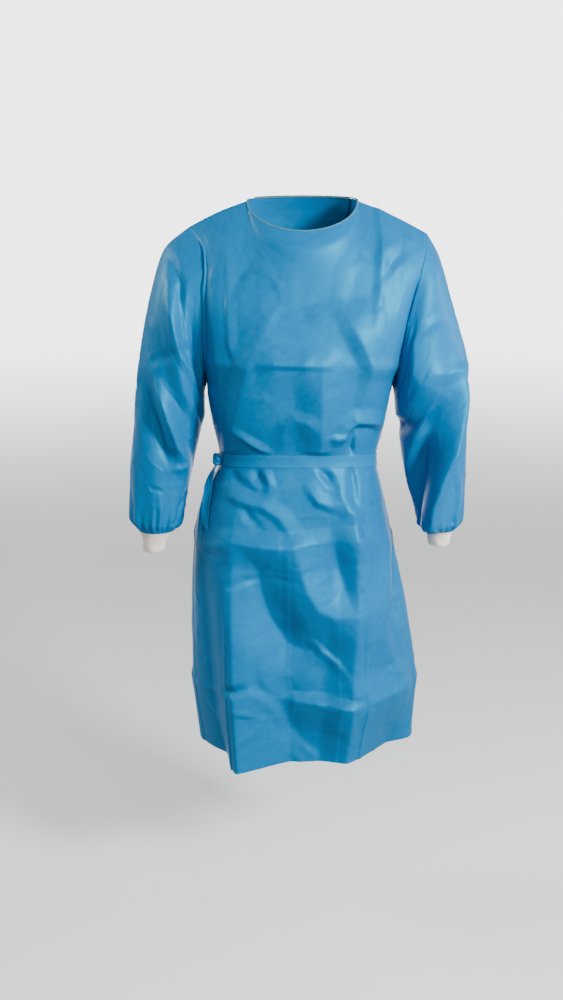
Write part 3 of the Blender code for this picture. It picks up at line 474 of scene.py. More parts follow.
CuffSection = namedtuple("CuffSection", "drop middle_x half_width half_depth")
CUFF_LEFT = (
    CuffSection(0.000, 0.2965, 0.0325, 0.0360),
    CuffSection(0.010, 0.2960, 0.0275, 0.0310),
    CuffSection(0.022, 0.2957, 0.0240, 0.0280),
    CuffSection(0.034, 0.2955, 0.0220, 0.0265),
)
CUFF_RIGHT = (
    CuffSection(0.000, -0.3040, 0.0380, 0.0380),
    CuffSection(0.012, -0.3065, 0.0300, 0.0330),
    CuffSection(0.028, -0.3095, 0.0250, 0.0290),
    CuffSection(0.046, -0.3120, 0.0225, 0.0265),
)
KNIT_RIBS = 64
KNIT_WALL = 0.0022
KNIT_RISE = 0.00045

KNOT_U = -0.79
KNOT_SIZE = (0.0085, 0.0125, 0.0140)
KNOT_LIFT = 0.0110
KNOT_FACE = 1.6
KNOT_FOOT = 0.0115
TieEnd = namedtuple(
    "TieEnd", "name u_start z_start u_end z_end half_width lift_start lift_end slant open_out"
)
TIE_ENDS = (
    TieEnd("belt_end_front", -0.780, -0.5475, -0.640, -0.668, 0.0125, 0.0100, 0.0038, 0.008, 0.45),
    TieEnd("belt_end_back", -0.835, -0.5475, -0.715, -0.700, 0.0125, 0.0060, 0.0008, 0.002, 0.10),
)

# Grids
FRONT_GRID = (225, 384)
BACK_GRID = (120, 384)
SLEEVE_GRID = (97, 258)
LINING_STEP = 3


def smooth(at, stations, values):
    """Read a monotone cubic curve through the stations."""
    x = np.asarray(stations, float)
    y = np.asarray(values, float)
    step = np.diff(x)
    slope = np.diff(y) / step
    lean = np.zeros_like(y)
    same_way = slope[:-1] * slope[1:] > 0
    together = np.where(same_way, slope[:-1] + slope[1:], 1.0)
    lean[1:-1] = np.where(same_way, 2 * slope[:-1] * slope[1:] / together, 0.0)
    lean[0] = slope[0]
    lean[-1] = slope[-1]
    at = np.clip(at, x[0], x[-1])
    i = np.clip(np.searchsorted(x, at) - 1, 0, len(step) - 1)
    t = (at - x[i]) / step[i]
    start = (1 + 2 * t) * (1 - t) ** 2 * y[i] + t * (1 - t) ** 2 * step[i] * lean[i]
    end = t * t * (3 - 2 * t) * y[i + 1] + t * t * (t - 1) * step[i] * lean[i + 1]
    return start + end


def column(rows, name, at, key):
    """Read one named column of a table at the given places."""
    stations = np.array([getattr(row, key) for row in rows])
    values = np.array([getattr(row, name) for row in rows])
    order = np.argsort(stations)
    return smooth(at, stations[order], values[order])


def unit(vectors):
    return vectors / np.linalg.norm(vectors, axis=-1, keepdims=True)


def crease_rise(creases, across, down, scale):
    """Sum the creases' rise at each place; scale turns the tables' places into metres."""
    x = across * scale[0]
    y = down * scale[1]
    total = np.zeros(np.broadcast(x, y).shape)
    x, y = np.broadcast_arrays(x, y)
    for crease in creases:
        path = np.array(crease.path)
        px, py, rise = path[:, 0] * scale[0], path[:, 1] * scale[1], path[:, 2]
        reach = max(crease.over, crease.under)
        near_box = (
            (x > px.min() - reach) & (x < px.max() + reach)
            & (y > py.min() - reach) & (y < py.max() + reach)
        )
        if not near_box.any():
            continue
        qx, qy = x[near_box], y[near_box]
        best = np.full(qx.shape, 1e9)
        width = np.zeros(qx.shape)
        height = np.zeros(qx.shape)
        shares = np.zeros(qx.shape)
        for n in range(len(path) - 1):
            run_x, run_y = px[n + 1] - px[n], py[n + 1] - py[n]
            along = ((qx - px[n]) * run_x + (qy - py[n]) * run_y) / (run_x**2 + run_y**2)
            near = np.clip(along, 0, 1)
            off_x = qx - px[n] - near * run_x
            off_y = qy - py[n] - near * run_y
            away = np.hypot(off_x, off_y)
            best = np.minimum(best, away)
            side = (run_x * off_y - run_y * off_x) / (np.hypot(run_x, run_y) * away + 1e-9)
            past_end = ((n == 0) & (near == 0)) | ((n == len(path) - 2) & (near == 1))
            side = np.where(past_end, side, np.sign(side))
            share = (away + 0.0005) ** -JOINT_POWER
            shares += share
            width += share * (crease.under + (crease.over - crease.under) * (1 + side) / 2)
            height += share * (rise[n] + near * (rise[n + 1] - rise[n]))
        width /= shares
        height /= shares
        rounded = np.hypot(best, crease.edge) - crease.edge
        bell = np.clip(1 - rounded / width, 0, 1)
        bell = bell * bell * (1 + FOOT) / (bell + FOOT)
        total[near_box] += height * bell
    return total


def gathers():
    """The back's gathers as creases, one above and one below the belt for each."""
    made = []
    for item in BACK_GATHERS:
        far = item.u + GATHER_SPREAD * np.sign(item.u)
        for way, length in ((1, item.above), (-1, item.below)):
            near = BELT_Z + way * BELT_HEIGHT / 2
            path = ((item.u, near, item.depth), (far, near + way * length, GATHER_FADE * item.depth))
            made.append(Crease(GATHER_REACH, GATHER_REACH, 0.004, path))
    return tuple(made)


def crumple(seed, count, across, down, strength):
    """Small random creases, uneven in length, depth and lie."""
    rng = np.random.default_rng(seed)
    made = []
    for _ in range(count):
        u = rng.uniform(*across)
        v = rng.uniform(*down)
        lie = rng.uniform(0, pi)
        length = rng.uniform(0.015, 0.075)
        bend = rng.uniform(-0.25, 0.25) * length
        rise = rng.choice((-1, 1)) * rng.uniform(0.25, 1.0) * strength
        dx, dy = np.cos(lie) * length / 2, np.sin(lie) * length / 2
        path = (
            (u - dx, v - dy, 0.1 * rise), (u - bend * np.sin(lie), v + bend * np.cos(lie), rise),
            (u + dx, v + dy, 0.1 * rise),
        )
        made.append(Crease(rng.uniform(0.006, 0.022), rng.uniform(0.006, 0.022), 0.002, path))
    return tuple(made)


def swell(seed, x, y, strength):
    """Broad soft unevenness of hanging cloth."""
    rng = np.random.default_rng(seed)
    total = np.zeros(np.broadcast(x, y).shape)
    for _ in range(9):
        lie = rng.uniform(-0.9, 0.9)
        wave = rng.uniform(0.055, 0.17)
        shift = rng.uniform(0, 2 * pi)
        total += np.sin((x * np.cos(lie) + y * np.sin(lie)) * 2 * pi / wave + shift) * wave
    return total * strength


def top_point(u):
    """The panels' upper edge: the shoulder line, then the neck edge inside it."""
    front = np.abs(u) <= 1
    s = np.where(front, u, 2 * np.sign(u) - u)
    shoulder = np.clip((np.abs(s) - NECK_SHARE) / (1 - NECK_SHARE), 0, 1)
    turn = np.clip(s / NECK_SHARE, -1, 1) * pi / 2
    dip = np.clip(np.cos(turn), 0, 1)
    x_neck = NECK_MID + NECK_HALF * np.sin(turn)
    y_neck = np.where(front, -NECK_FRONT_REACH, NECK_BACK_REACH) * dip**NECK_CURVE
    z_neck = NECK_SIDE_Z + np.where(front, -NECK_FRONT_DROP, NECK_BACK_RISE) * dip
    top = BODY_SECTIONS[0]
    x_end = np.where(s < 0, -top.right, top.left)
    z_end = np.where(s < 0, SHOULDER_RIGHT_Z, SHOULDER_LEFT_Z)
    crown = SHOULDER_CROWN * np.sin(shoulder * pi)
    x = x_neck + (x_end - x_neck) * shoulder
    z = z_neck + (z_end - z_neck) * shoulder + crown
    return np.stack((x, y_neck, z), axis=-1)


def row_z(w):
    """Height of row w: 0 at the shoulders, 1 at the armpits and 2 at the hem."""
    yoke = SHOULDER_Z + (ARMPIT_Z - SHOULDER_Z) * np.minimum(w, 1)
    return yoke + (HEM_Z - ARMPIT_Z) * np.maximum(w - 1, 0)


def row_at(z):
    """The row w of a height below the armpits."""
    return 1 + (ARMPIT_Z - z) / (ARMPIT_Z - HEM_Z)


def section_point(u, z):
    """A point of the plain body section at height z."""
    across = np.sin(u * pi / 2)
    ahead = np.cos(u * pi / 2)
    front = np.abs(u) <= 1
    reach = np.where(
        across < 0,
        column(BODY_SECTIONS, "right", z, "z"),
        column(BODY_SECTIONS, "left", z, "z"),
    )
    edge = np.where(
        front,
        -column(BODY_SECTIONS, "edge_front", z, "z"),
        column(BODY_SECTIONS, "edge_back", z, "z"),
    )
    deepest = np.where(
        front,
        -column(BODY_SECTIONS, "front", z, "z"),
        column(BODY_SECTIONS, "back", z, "z"),
    )
    front_power = np.where(
        across < 0,
        column(BODY_SECTIONS, "corner_right", z, "z"),
        column(BODY_SECTIONS, "corner_left", z, "z"),
    )
    power = np.where(front, front_power, column(BODY_SECTIONS, "corner_back", z, "z"))
    swollen = (np.abs(across) ** power + np.abs(ahead) ** power) ** (-1 / power)
    x = reach * across * swollen
    y = edge + (deepest - edge) * np.abs(ahead) * swollen
    tilt = BELT_TILT * ahead * np.exp(-(((z - BELT_Z) / BELT_TILT_REACH) ** 2))
    return np.stack((x, y, z + tilt), axis=-1)


def ease(value):
    """A smooth step from 0 to 1."""
    share = np.clip(value, 0, 1)
    return share * share * (3 - 2 * share)


def body_base(u, w):
    """The unfolded body: sections, drawn up to the neck and shoulder edge at the top."""
    z = row_z(w)
    point = section_point(u, z)
    drawn = (np.clip(1 - w, 0, 1) ** NECK_FADE)[..., None]
    share = np.abs(np.where(np.abs(u) <= 1, u, 2 - np.abs(u)))
    spread = NECK_SOFT * ease(w / NECK_SOFT_ROWS) * np.clip(2 - 2 * share, 0, 1)
    pull = np.zeros(point.shape)
    for step, weight in NECK_STEPS:
        near = u + step * spread
        pull += weight * (top_point(near) - section_point(near, np.full_like(z, SHOULDER_Z)))
    return point + pull * drawn


BODY_SCALE = (METRES_PER_U, 1.0)
CREASE_GAIN = 1.6
FINE_CREASES = FRONT_CREASES + BACK_CREASES + tuple(
    Crease(c.over, c.under, c.edge, tuple((p[0] / METRES_PER_U, p[1], p[2]) for p in c.path))
    for c in crumple(7, 260, (-0.60, 0.60), (-1.17, -0.09), 0.0014)
)


def body_point(u, w):
    """The outer surface of the body, with its folds and creases."""
    u, w = np.broadcast_arrays(np.asarray(u, float), np.asarray(w, float))
    point = body_base(u, w)
    step = 0.01
    clipped = np.where(np.abs(u) <= 1, np.sign(u) * np.minimum(np.abs(u), 1 - step), u)
    inside = np.where(w < 1, clipped, u)
    sideways = body_base(inside + step, w) - body_base(inside - step, w)
    downwards = body_base(inside, w + step) - body_base(inside, np.maximum(w - step, 0))
    outwards = unit(np.cross(sideways, -downwards))
    z = row_z(w)
    around = (u + 2) % 4 - 2
    beyond = np.where(around < 0, around + 4, around - 4)
    rise = crease_rise(LARGE_FOLDS + gathers(), around, z, BODY_SCALE)
    rise += CREASE_GAIN * crease_rise(FINE_CREASES, around, z, BODY_SCALE)
    rise += CREASE_GAIN * crease_rise(BACK_CREASES, beyond, z, BODY_SCALE)
    x = around * METRES_PER_U
    rise += swell(3, x, z * 0.55, 0.0026) * np.clip(-(z + 0.09) / 0.10, 0, 1) * np.cos(u * pi / 2) ** 2
    flat, loose = BELT_PRESS
    free = np.clip((np.abs(z - BELT_Z) - flat) / (loose - flat), 0, 1)
    return point + outwards * (rise * free)[..., None]


def neck_frame(u):
    """Outward and climbing directions at the neck edge."""
    front = np.abs(u) <= 1
    s = np.where(front, u, 2 * np.sign(u) - u)
    turn = np.clip(s / NECK_SHARE, -1, 1) * pi / 2
    across = np.sin(turn)
    ahead = np.where(front, -1.0, 1.0) * np.cos(turn)
    flat = np.zeros_like(across)
    level, upward = NECK_LEAN
    outwards = unit(np.stack((level * across, level * ahead, flat + upward), axis=-1))
    climb = unit(np.stack((-upward * across, -upward * ahead, flat + level), axis=-1))
    return outwards, climb


def grid_normals(points, closed=False):
    """Outward directions of a grid whose columns run anticlockwise seen from above."""
    if closed:
        around = np.roll(points, -1, axis=1) - np.roll(points, 1, axis=1)
    else:
        around = np.gradient(points, axis=1)
    down = np.gradient(points, axis=0)
    return unit(np.cross(down, around))


# Meshes


def add_object(name, vertices, faces, spots, material, nodes=()):
    """One finished piece, riding on the only body; each array of faces has one corner count."""
    sizes = np.concatenate([np.full(len(part), part.shape[1]) for part in faces])
    corners = np.concatenate([part.ravel() for part in faces])
    mesh = bpy.data.meshes.new(name)
    mesh.vertices.add(len(vertices))
    mesh.vertices.foreach_set("co", np.asarray(vertices, np.float32).ravel())
    mesh.loops.add(len(corners))
    mesh.loops.foreach_set("vertex_index", corners.astype(np.int32))
    mesh.polygons.add(len(sizes))
    mesh.polygons.foreach_set("loop_start", (sizes.cumsum() - sizes).astype(np.int32))
    mesh.update(calc_edges=True)
    layer = mesh.uv_layers.new(name="cut")
    flat = np.concatenate([part.reshape(-1, 2) for part in spots])
    layer.data.foreach_set("uv", flat.astype(np.float32).ravel())
    mesh.validate()
    mesh.shade_smooth()
    mesh.set_sharp_from_angle(angle=radians(SPLIT_ANGLE))
    mesh.materials.append(material)
    item = bpy.data.objects.new(name, mesh)
    bpy.context.collection.objects.link(item)
    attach(item, "root")
    if nodes:
        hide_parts(*nodes)
    return item


def lining(outer, outwards, step, closed):
    """A coarser inner skin, pushed in until it is clear under every point of the outer."""
    rows, columns = outer.shape[:2]
    inner = (outer - outwards * SHEET)[::step, ::step]
    y = np.arange(0, rows, step)
    x = np.arange(0, columns, step)
    low_y = np.minimum(np.arange(rows) // step, len(y) - 2)
    low_x = np.arange(columns) // step
    if not closed:
        low_x = np.minimum(low_x, len(x) - 2)
    part_y = (np.arange(rows) / step - low_y)[:, None, None]
    part_x = (np.arange(columns) / step - low_x)[None, :, None]
    high_x = (low_x + 1) % len(x)
    for _ in range(4):
        across = inner[:, low_x] * (1 - part_x) + inner[:, high_x] * part_x
        filled = across[low_y] * (1 - part_y) + across[low_y + 1] * part_y
        short = np.clip(0.8 * SHEET - ((outer - filled) * outwards).sum(axis=-1), 0, None)
        worst = np.zeros(inner.shape[:2])
        for down in range(1 - step, step):
            for over in range(1 - step, step):
                at_x = (x + over) % columns if closed else np.clip(x + over, 0, columns - 1)
                worst = np.maximum(worst, short[np.clip(y + down, 0, rows - 1)[:, None], at_x[None, :]])
        inner = inner - outwards[::step, ::step] * worst[..., None]
    return inner


def shell(name, outer, inner, place, material, nodes=(), closed=False, turned=False):
    """A closed sheet between two grids; place gives each outer point's spot on the cut."""
    step = (outer.shape[0] - 1) // (inner.shape[0] - 1)
    fine = np.arange(outer.shape[0] * outer.shape[1]).reshape(outer.shape[:2])
    coarse = fine.size + np.arange(inner.shape[0] * inner.shape[1]).reshape(inner.shape[:2])
    if closed:
        fine = np.concatenate((fine, fine[:, :1]), axis=1)
        coarse = np.concatenate((coarse, coarse[:, :1]), axis=1)
    place = place[:, :fine.shape[1]]
    faces = []
    spots = []

    def pave(corners, places):
        if turned:
            corners, places = corners[:, ::-1], places[:, ::-1]
        faces.append(corners)
        spots.append(places)

    def skin(index, at, order):
        around = [index[:-1, :-1], index[1:, :-1], index[1:, 1:], index[:-1, 1:]]
        where = [at[:-1, :-1], at[1:, :-1], at[1:, 1:], at[:-1, 1:]]
        pave(
            np.stack([around[n] for n in order], axis=-1).reshape(-1, 4),
            np.stack([where[n] for n in order], axis=-2).reshape(-1, 4, 2),
        )

    def rim(edge, behind, at, flip):
        chain = np.arange(len(behind) - 1)[:, None] * step + np.arange(step, -1, -1)[None, :]
        back = at[::step]
        corners = np.concatenate((behind[:-1, None], behind[1:, None], edge[chain]), axis=1)
        places = np.concatenate((back[:-1, None], back[1:, None], at[chain]), axis=1)
        if flip:
            corners, places = corners[:, ::-1], places[:, ::-1]
        pave(corners, places)

    skin(fine, place, (0, 1, 2, 3))
    skin(coarse, place[::step, ::step], (0, 3, 2, 1))
    rim(fine[0], coarse[0], place[0], True)
    rim(fine[-1], coarse[-1], place[-1], False)
    if not closed:
        rim(fine[:, 0], coarse[:, 0], place[:, 0], False)
        rim(fine[:, -1], coarse[:, -1], place[:, -1], True)
    vertices = np.concatenate((outer.reshape(-1, 3), inner.reshape(-1, 3)))
    return add_object(name, vertices, faces, spots, material, nodes)


# Shader maths


class Field:
    """A socket whose arithmetic adds Math nodes to its tree."""

    def __init__(self, shade, socket):
        self.shade = shade
        self.socket = socket

    def math(self, operation, *others):
        values = {n: v for n, v in enumerate((self,) + others)}
        return self.shade.node("ShaderNodeMath", {"operation": operation}, values)[0]

    def __add__(self, other):
        return self.math("ADD", other)

    def __sub__(self, other):
        return self.math("SUBTRACT", other)

    def __rsub__(self, other):
        return (self * -1) + other

    def __mul__(self, other):
        return self.math("MULTIPLY", other)

    def __truediv__(self, other):
        return self.math("DIVIDE", other)

    __radd__ = __add__
    __rmul__ = __mul__


class Shade:
    """A material's node tree, with one method that makes any node."""

    def __init__(self, name):
        self.material = bpy.data.materials.new(name)
        self.material.use_nodes = True
        self.tree = self.material.node_tree
        self.surface = self.tree.nodes["Principled BSDF"]

    def node(self, kind, settings=None, values=None):
        made = self.tree.nodes.new(kind)
        for key, value in (settings or {}).items():
            setattr(made, key, value)
        for key, value in (values or {}).items():
            self.give(made.inputs[key], value)
        return [Field(self, s) for s in made.outputs]

    def give(self, socket, value):
        if isinstance(value, Field):
            self.tree.links.new(value.socket, socket)
        else:
            socket.default_value = value

    def blend(self, factor, first, second):
        """Mix two colours."""
        made = self.tree.nodes.new("ShaderNodeMix")
        made.data_type = "RGBA"
        for key, value in ((0, factor), (6, first), (7, second)):
            self.give(made.inputs[key], value)
        return Field(self, made.outputs[2])

    def ramp(self, value, low, high):
        """Map low..high onto 0..1, held at the ends."""
        return self.node(
            "ShaderNodeMapRange", {"interpolation_type": "SMOOTHSTEP"},
            {0: value, 1: low, 2: high, 3: 0.0, 4: 1.0},
        )[0]

    def stretched(self, vector, by):
        return self.node("ShaderNodeVectorMath", {"operation": "MULTIPLY"}, {0: vector, 1: by})[0]

    def noise(self, vector, scale, detail=2.0, rough=0.5):
        return self.node(
            "ShaderNodeTexNoise", None,
            {"Vector": vector, "Scale": scale, "Detail": detail, "Roughness": rough},
        )[0]

    def finish(self, **sockets):
        for name, value in sockets.items():
            self.give(self.surface.inputs[name.replace("_", " ")], value)
        return self.material


def rgb(colour, gain=1.0):
    return (colour[0] * gain, colour[1] * gain, colour[2] * gain, 1.0)


BOND_PITCH = 0.0026
BOND_DEPTH = 0.00004
FIBRE_DEPTH = 0.00004
CRUSH_DEPTH = 0.0011
GLOSS_TINT = (0.04, 0.72, 1.0, 1.0)


def nonwoven(name, colour, rough, sheen=0.04, crush=1.0):
    """Spunbond sheet: cloudy fibre web, point bonds on a diamond, soft crush marks."""
    shade = Shade(name)
    cut = shade.node("ShaderNodeUVMap", {"uv_map": "cut"})[0]
    x, y, _ = shade.node("ShaderNodeSeparateXYZ", None, {0: cut})
    turn = 2 * pi / BOND_PITCH
    bond = (x * turn).math("SINE") * (y * (turn * 0.72)).math("SINE")
    bond = shade.ramp(bond, 0.35, 0.95)
    cloud = shade.noise(cut, 85.0, 4.0, 0.6)
    fibre = shade.noise(shade.stretched(cut, (900.0, 210.0, 1.0)), 1.0, 2.0, 0.7)
    crushed = shade.noise(cut, 34.0, 5.0, 0.55)
    patch = shade.noise(cut, 7.0, 2.0, 0.5)
    base = shade.blend(shade.ramp(cloud, 0.3, 0.7), rgb(colour, 0.93), rgb(colour, 1.06))
    base = shade.blend(bond * 0.16, base, rgb((colour[0] + 0.02, colour[1] + 0.04, colour[2] + 0.04)))
    base = shade.blend(shade.ramp(patch, 0.35, 0.75) * 0.35, base, rgb(colour, 1.10))
    height = bond * -BOND_DEPTH + fibre * FIBRE_DEPTH + crushed * (CRUSH_DEPTH * crush)
    bump = shade.node("ShaderNodeBump", None, {"Strength": 1.0, "Distance": 1.0, "Height": height})[0]
    shine = rough + (cloud - 0.5) * 0.16 - bond * 0.05
    return shade.finish(
        Base_Color=base, Roughness=shine, Normal=bump, Sheen_Weight=sheen, Sheen_Roughness=0.45,
        Sheen_Tint=GLOSS_TINT, Specular_IOR_Level=0.6, Specular_Tint=GLOSS_TINT,
    )


def knit(name, colour):
    """Rib knit: loops in columns, with painted shade darkening the hollows between the ribs."""
    shade = Shade(name)
    cut = shade.node("ShaderNodeUVMap", {"uv_map": "cut"})[0]
    x, y, _ = shade.node("ShaderNodeSeparateXYZ", None, {0: cut})
    across = (x * (2 * pi * KNIT_RIBS)).math("COSINE")
    loop = (y * 4200.0 + across * 0.9).math("SINE")
    fuzz = shade.noise(shade.stretched(cut, (260.0, 1500.0, 1.0)), 1.0, 3.0, 0.7)
    # painted shade: the colour darkens in the hollows between the ribs, mixed with the loop pattern and
    # fuzz
    rib_shade_and_loops = shade.ramp(across * 0.5 + loop * 0.25 + fuzz * 0.4, -0.4, 0.8)
    base = shade.blend(rib_shade_and_loops, rgb(colour, 0.84), rgb(colour, 1.0))
    height = loop * 0.00010 + fuzz * 0.00012
    bump = shade.node("ShaderNodeBump", None, {"Strength": 1.0, "Distance": 1.0, "Height": height})[0]
    return shade.finish(
        Base_Color=base, Roughness=0.92, Normal=bump, Sheen_Weight=0.25, Sheen_Roughness=0.6
    )


def thread(name, colour):
    shade = Shade(name)
    here = shade.node("ShaderNodeTexCoord")[3]
    twist = shade.noise(here, 1400.0, 2.0, 0.5)
    base = shade.blend(twist, rgb(colour, 0.8), rgb(colour, 1.1))
    bump = shade.node(
        "ShaderNodeBump", None, {"Strength": 1.0, "Distance": 1.0, "Height": twist * 0.0001}
    )[0]
    return shade.finish(Base_Color=base, Roughness=0.6, Normal=bump, Sheen_Weight=0.1)


BLUE = (0.0, 0.132, 0.330)
BELT_BLUE = (0.0, 0.155, 0.370)
EDGE_GREY = (0.070, 0.165, 0.225)
KNIT_WHITE = (0.980, 0.905, 0.790)

cloth = nonwoven("nonwoven_blue", BLUE, 0.46)
belt_cloth = nonwoven("belt_nonwoven", BELT_BLUE, 0.50, crush=0.5)
binding_cloth = nonwoven("binding_cloth", EDGE_GREY, 0.62, crush=0.25)
knit_cloth = knit("knit_white", KNIT_WHITE)
blue_thread = thread("thread_blue", (0.05, 0.30, 0.55))
white_thread = thread("thread_white", (0.80, 0.80, 0.76))


# Panels


def seam_dip(distance):
    """How far a seamed edge is drawn in, at a distance from the seam."""
    return SEAM_DEPTH * np.exp(-((distance / SEAM_REACH) ** 2))


def body_grid(u_range, grid):
    columns, rows = grid
    u = np.linspace(*u_range, columns + 1)
    w = np.concatenate((np.linspace(0, 1, rows // 4 + 1)[:-1], np.linspace(1, 2, rows * 3 // 4 + 1)))
    at_seam = np.abs(np.abs(u) - 1) < 1e-6
    edge = np.where(at_seam & (np.abs(np.mean(u_range)) > 1), u * PAST_SEAM, u)
    points = body_point(edge[None, :], w[:, None])
    normals = grid_normals(points)
    girth = np.linalg.norm(np.diff(points, axis=1), axis=-1)
    away = np.abs(np.abs(u) - 1)[None, :] * (girth.sum(axis=1) / (u[-1] - u[0]))[:, None]
    dip = seam_dip(away)
    share = np.abs(np.where(np.abs(u) <= 1, u, 2 - np.abs(u)))
    down = np.linalg.norm(np.diff(points, axis=0), axis=-1).cumsum(axis=0)
    down = np.concatenate((np.zeros((1, len(u))), down))
    dip += seam_dip(down) * (share > NECK_SHARE)[None, :]
    points = points - normals * np.clip(dip, 0, SEAM_DEPTH)[..., None]
    place = np.stack(np.broadcast_arrays(u[None, :] * METRES_PER_U, row_z(w)[:, None]), axis=-1)
    return u, points, normals, place


def lapped(u):
    """The over lap's lift, clear of the under lap."""
    start = 2 - NECK_SHARE
    share = np.clip((u - start) / (NECK_SHARE - LAP_SHARE), 0, 1)
    return LAP_RISE * share


u_front, front, front_out, front_place = body_grid((-1.0, 1.0), FRONT_GRID)
front_panel = shell(
    "gown_front", front, lining(front, front_out, LINING_STEP, False), front_place, cloth,
    ("front_panel",),
)
u_left, left, left_out, left_place = body_grid((1.0, 2 + LAP_SHARE), BACK_GRID)
left = left + left_out * lapped(u_left)[None, :, None]
left_panel = shell(
    "gown_back_left", left, lining(left, left_out, LINING_STEP, False), left_place, cloth,
    ("back_panel_left",),
)
u_right, right, right_out, right_place = body_grid((-2 - LAP_SHARE, -1.0), BACK_GRID)
right_panel = shell(
    "gown_back_right", right, lining(right, right_out, LINING_STEP, False), right_place, cloth,
    ("back_panel_right",),
)


# Sleeves


def sleeve_points(side, sections, creases, seed):
    half_columns, rings = SLEEVE_GRID
    along = np.linspace(0, 1, rings + 1) ** 0.92
    rows = np.linspace(0, 1, half_columns)
    ahead = body_point(np.full_like(rows, side), rows)
    behind = body_point(np.full_like(rows, side * PAST_SEAM), rows)
    armhole = np.concatenate((ahead, behind[-2:0:-1]))
    turn = np.linspace(0, 2 * pi, len(armhole), endpoint=False)
    outer = np.stack([column(sections, n, along, "along") for n in ("outer_x", "outer_z")], -1)
    inner = np.stack([column(sections, n, along, "along") for n in ("inner_x", "inner_z")], -1)
    middle = (outer + inner) / 2
    half = (outer - inner) / 2
    swing = np.cos(turn)[None, :]
    x = middle[:, :1] + half[:, :1] * swing
    z = middle[:, 1:] + half[:, 1:] * swing
    depth = column(sections, "half_depth", along, "along")[:, None]
    y = column(sections, "middle_y", along, "along")[:, None] - depth * np.sin(turn)[None, :]
    points = np.stack((x, y, z), axis=-1)
    fade = np.clip(1 - along / ARMHOLE_FADE, 0, 1) ** 2
    points += (armhole - points[0])[None] * fade[:, None, None]
    outwards = grid_normals(points, closed=True) * -side
    gather = np.clip((along - CUFF_GATHER_START) / (1 - CUFF_GATHER_START), 0, 1)
    gather = gather * np.clip((1 - along) / CUFF_GATHER_END, 0, 1)
    wave = np.cos(turn * CUFF_GATHERS)[None, :] * gather[:, None] * CUFF_GATHER_RISE
    fine = np.clip((along - 0.88) / 0.10, 0, 1)[:, None] * np.clip((1 - along) / 0.02, 0, 1)[:, None]
    wave = wave + np.sin(turn * 23 + 2.2 * np.sin(turn * 3))[None, :] * fine * 0.0016
    place = turn[None, :] / pi
    scale = (-side * METRES_PER_TURN, -SLEEVE_LENGTH)
    small = tuple(
        Crease(c.over, c.under, c.edge, tuple((p[0] / METRES_PER_TURN, p[1], p[2]) for p in c.path))
        for c in crumple(seed, 110, (0.0, 0.5), (0.05, 0.98), 0.0012)
    )
    rise = SLEEVE_GAIN * crease_rise(creases + small, place, along[:, None], scale)
    rise += swell(seed, place * METRES_PER_TURN, along[:, None] * 0.4, 0.0030) * np.sin(turn)[None, :] ** 2
    free = np.clip(along / 0.10, 0, 1) * np.clip((1 - along) / CUFF_GATHER_END, 0, 1)
    points = points + outwards * (wave + rise * free[:, None])[..., None]
    outwards = grid_normals(points, closed=True) * -side
    length = along * SLEEVE_LENGTH
    points = points - outwards * seam_dip(length)[:, None, None]
    whole = np.linspace(0, 2 * pi, len(armhole) + 1)
    place = np.stack(
        np.broadcast_arrays(whole[None, :] / pi * METRES_PER_TURN, -length[:, None]), axis=-1
    )
    return points, outwards, place


for name, side, sections, creases, seed in (
    ("left", 1.0, SLEEVE_LEFT, SLEEVE_CREASES_LEFT, 21),
    ("right", -1.0, SLEEVE_RIGHT, SLEEVE_CREASES_RIGHT, 34),
):
    points, outwards, place = sleeve_points(side, sections, creases, seed)
    shell(
        "gown_sleeve_" + name, points, lining(points, outwards, LINING_STEP, True), place, cloth,
        ("sleeve_" + name,), closed=True, turned=side > 0,
    )


# Cuffs


def cuff_shape(sections, top_z, middle_y):
    rows = 40
    columns = KNIT_RIBS * 6
    share = np.linspace(0, 1, rows + 1)[:, None]
    drops = share * sections[-1].drop
    turn = np.linspace(0, 2 * pi, columns, endpoint=False)[None, :]
    rib = (np.cos(turn * KNIT_RIBS) - 1) * KNIT_RISE
    rolled = -0.0012 * np.clip((share - 0.90) / 0.10, 0, 1) ** 2
    sewn = -0.0010 * np.clip((0.10 - share) / 0.10, 0, 1)
    width = column(sections, "half_width", drops, "drop")
    depth = column(sections, "half_depth", drops, "drop")
    middle = column(sections, "middle_x", drops, "drop")
    soft = 0.0005 * np.sin(turn * 5 + share * 7) * share
    skins = []
    for inset in (rib + rolled + sewn + soft, -KNIT_WALL + 0 * rib + soft):
        x = middle + (width + inset) * np.cos(turn)
        y = middle_y - (depth + inset) * np.sin(turn)
        z = top_z + 0.0012 - drops + 0 * turn
        skins.append(np.stack((x, y, z), axis=-1))
    whole = np.linspace(0, 1, columns + 1)
    place = np.stack(np.broadcast_arrays(whole[None, :], -drops), axis=-1)
    return skins[0], skins[1], place


for name, sections, cuff in (("left", SLEEVE_LEFT, CUFF_LEFT), ("right", SLEEVE_RIGHT, CUFF_RIGHT)):
    last = sections[-1]
    outer, inner, place = cuff_shape(cuff, last.outer_z, last.middle_y)
    shell(
        "gown_cuff_" + name, outer, inner, place, knit_cloth, ("cuff_" + name,),
        closed=True, turned=True,
    )


# Neck binding


def neck_path():
    """The neck edge from the under lap round the front to the over lap."""
    under = np.linspace(-2 - LAP_SHARE, -2 + NECK_SHARE, 50)[:-1]
    ahead = np.linspace(-NECK_SHARE, NECK_SHARE, 140)
    over = np.linspace(2 - NECK_SHARE, 2 + LAP_SHARE, 50)[1:]
    u = np.concatenate((under, ahead, over))
    edge = body_point(u, np.zeros_like(u))
    outwards, climb = neck_frame(u)
    edge = edge + outwards * np.where(u > 1, lapped(u), 0.0)[:, None]
    return edge, outwards, climb


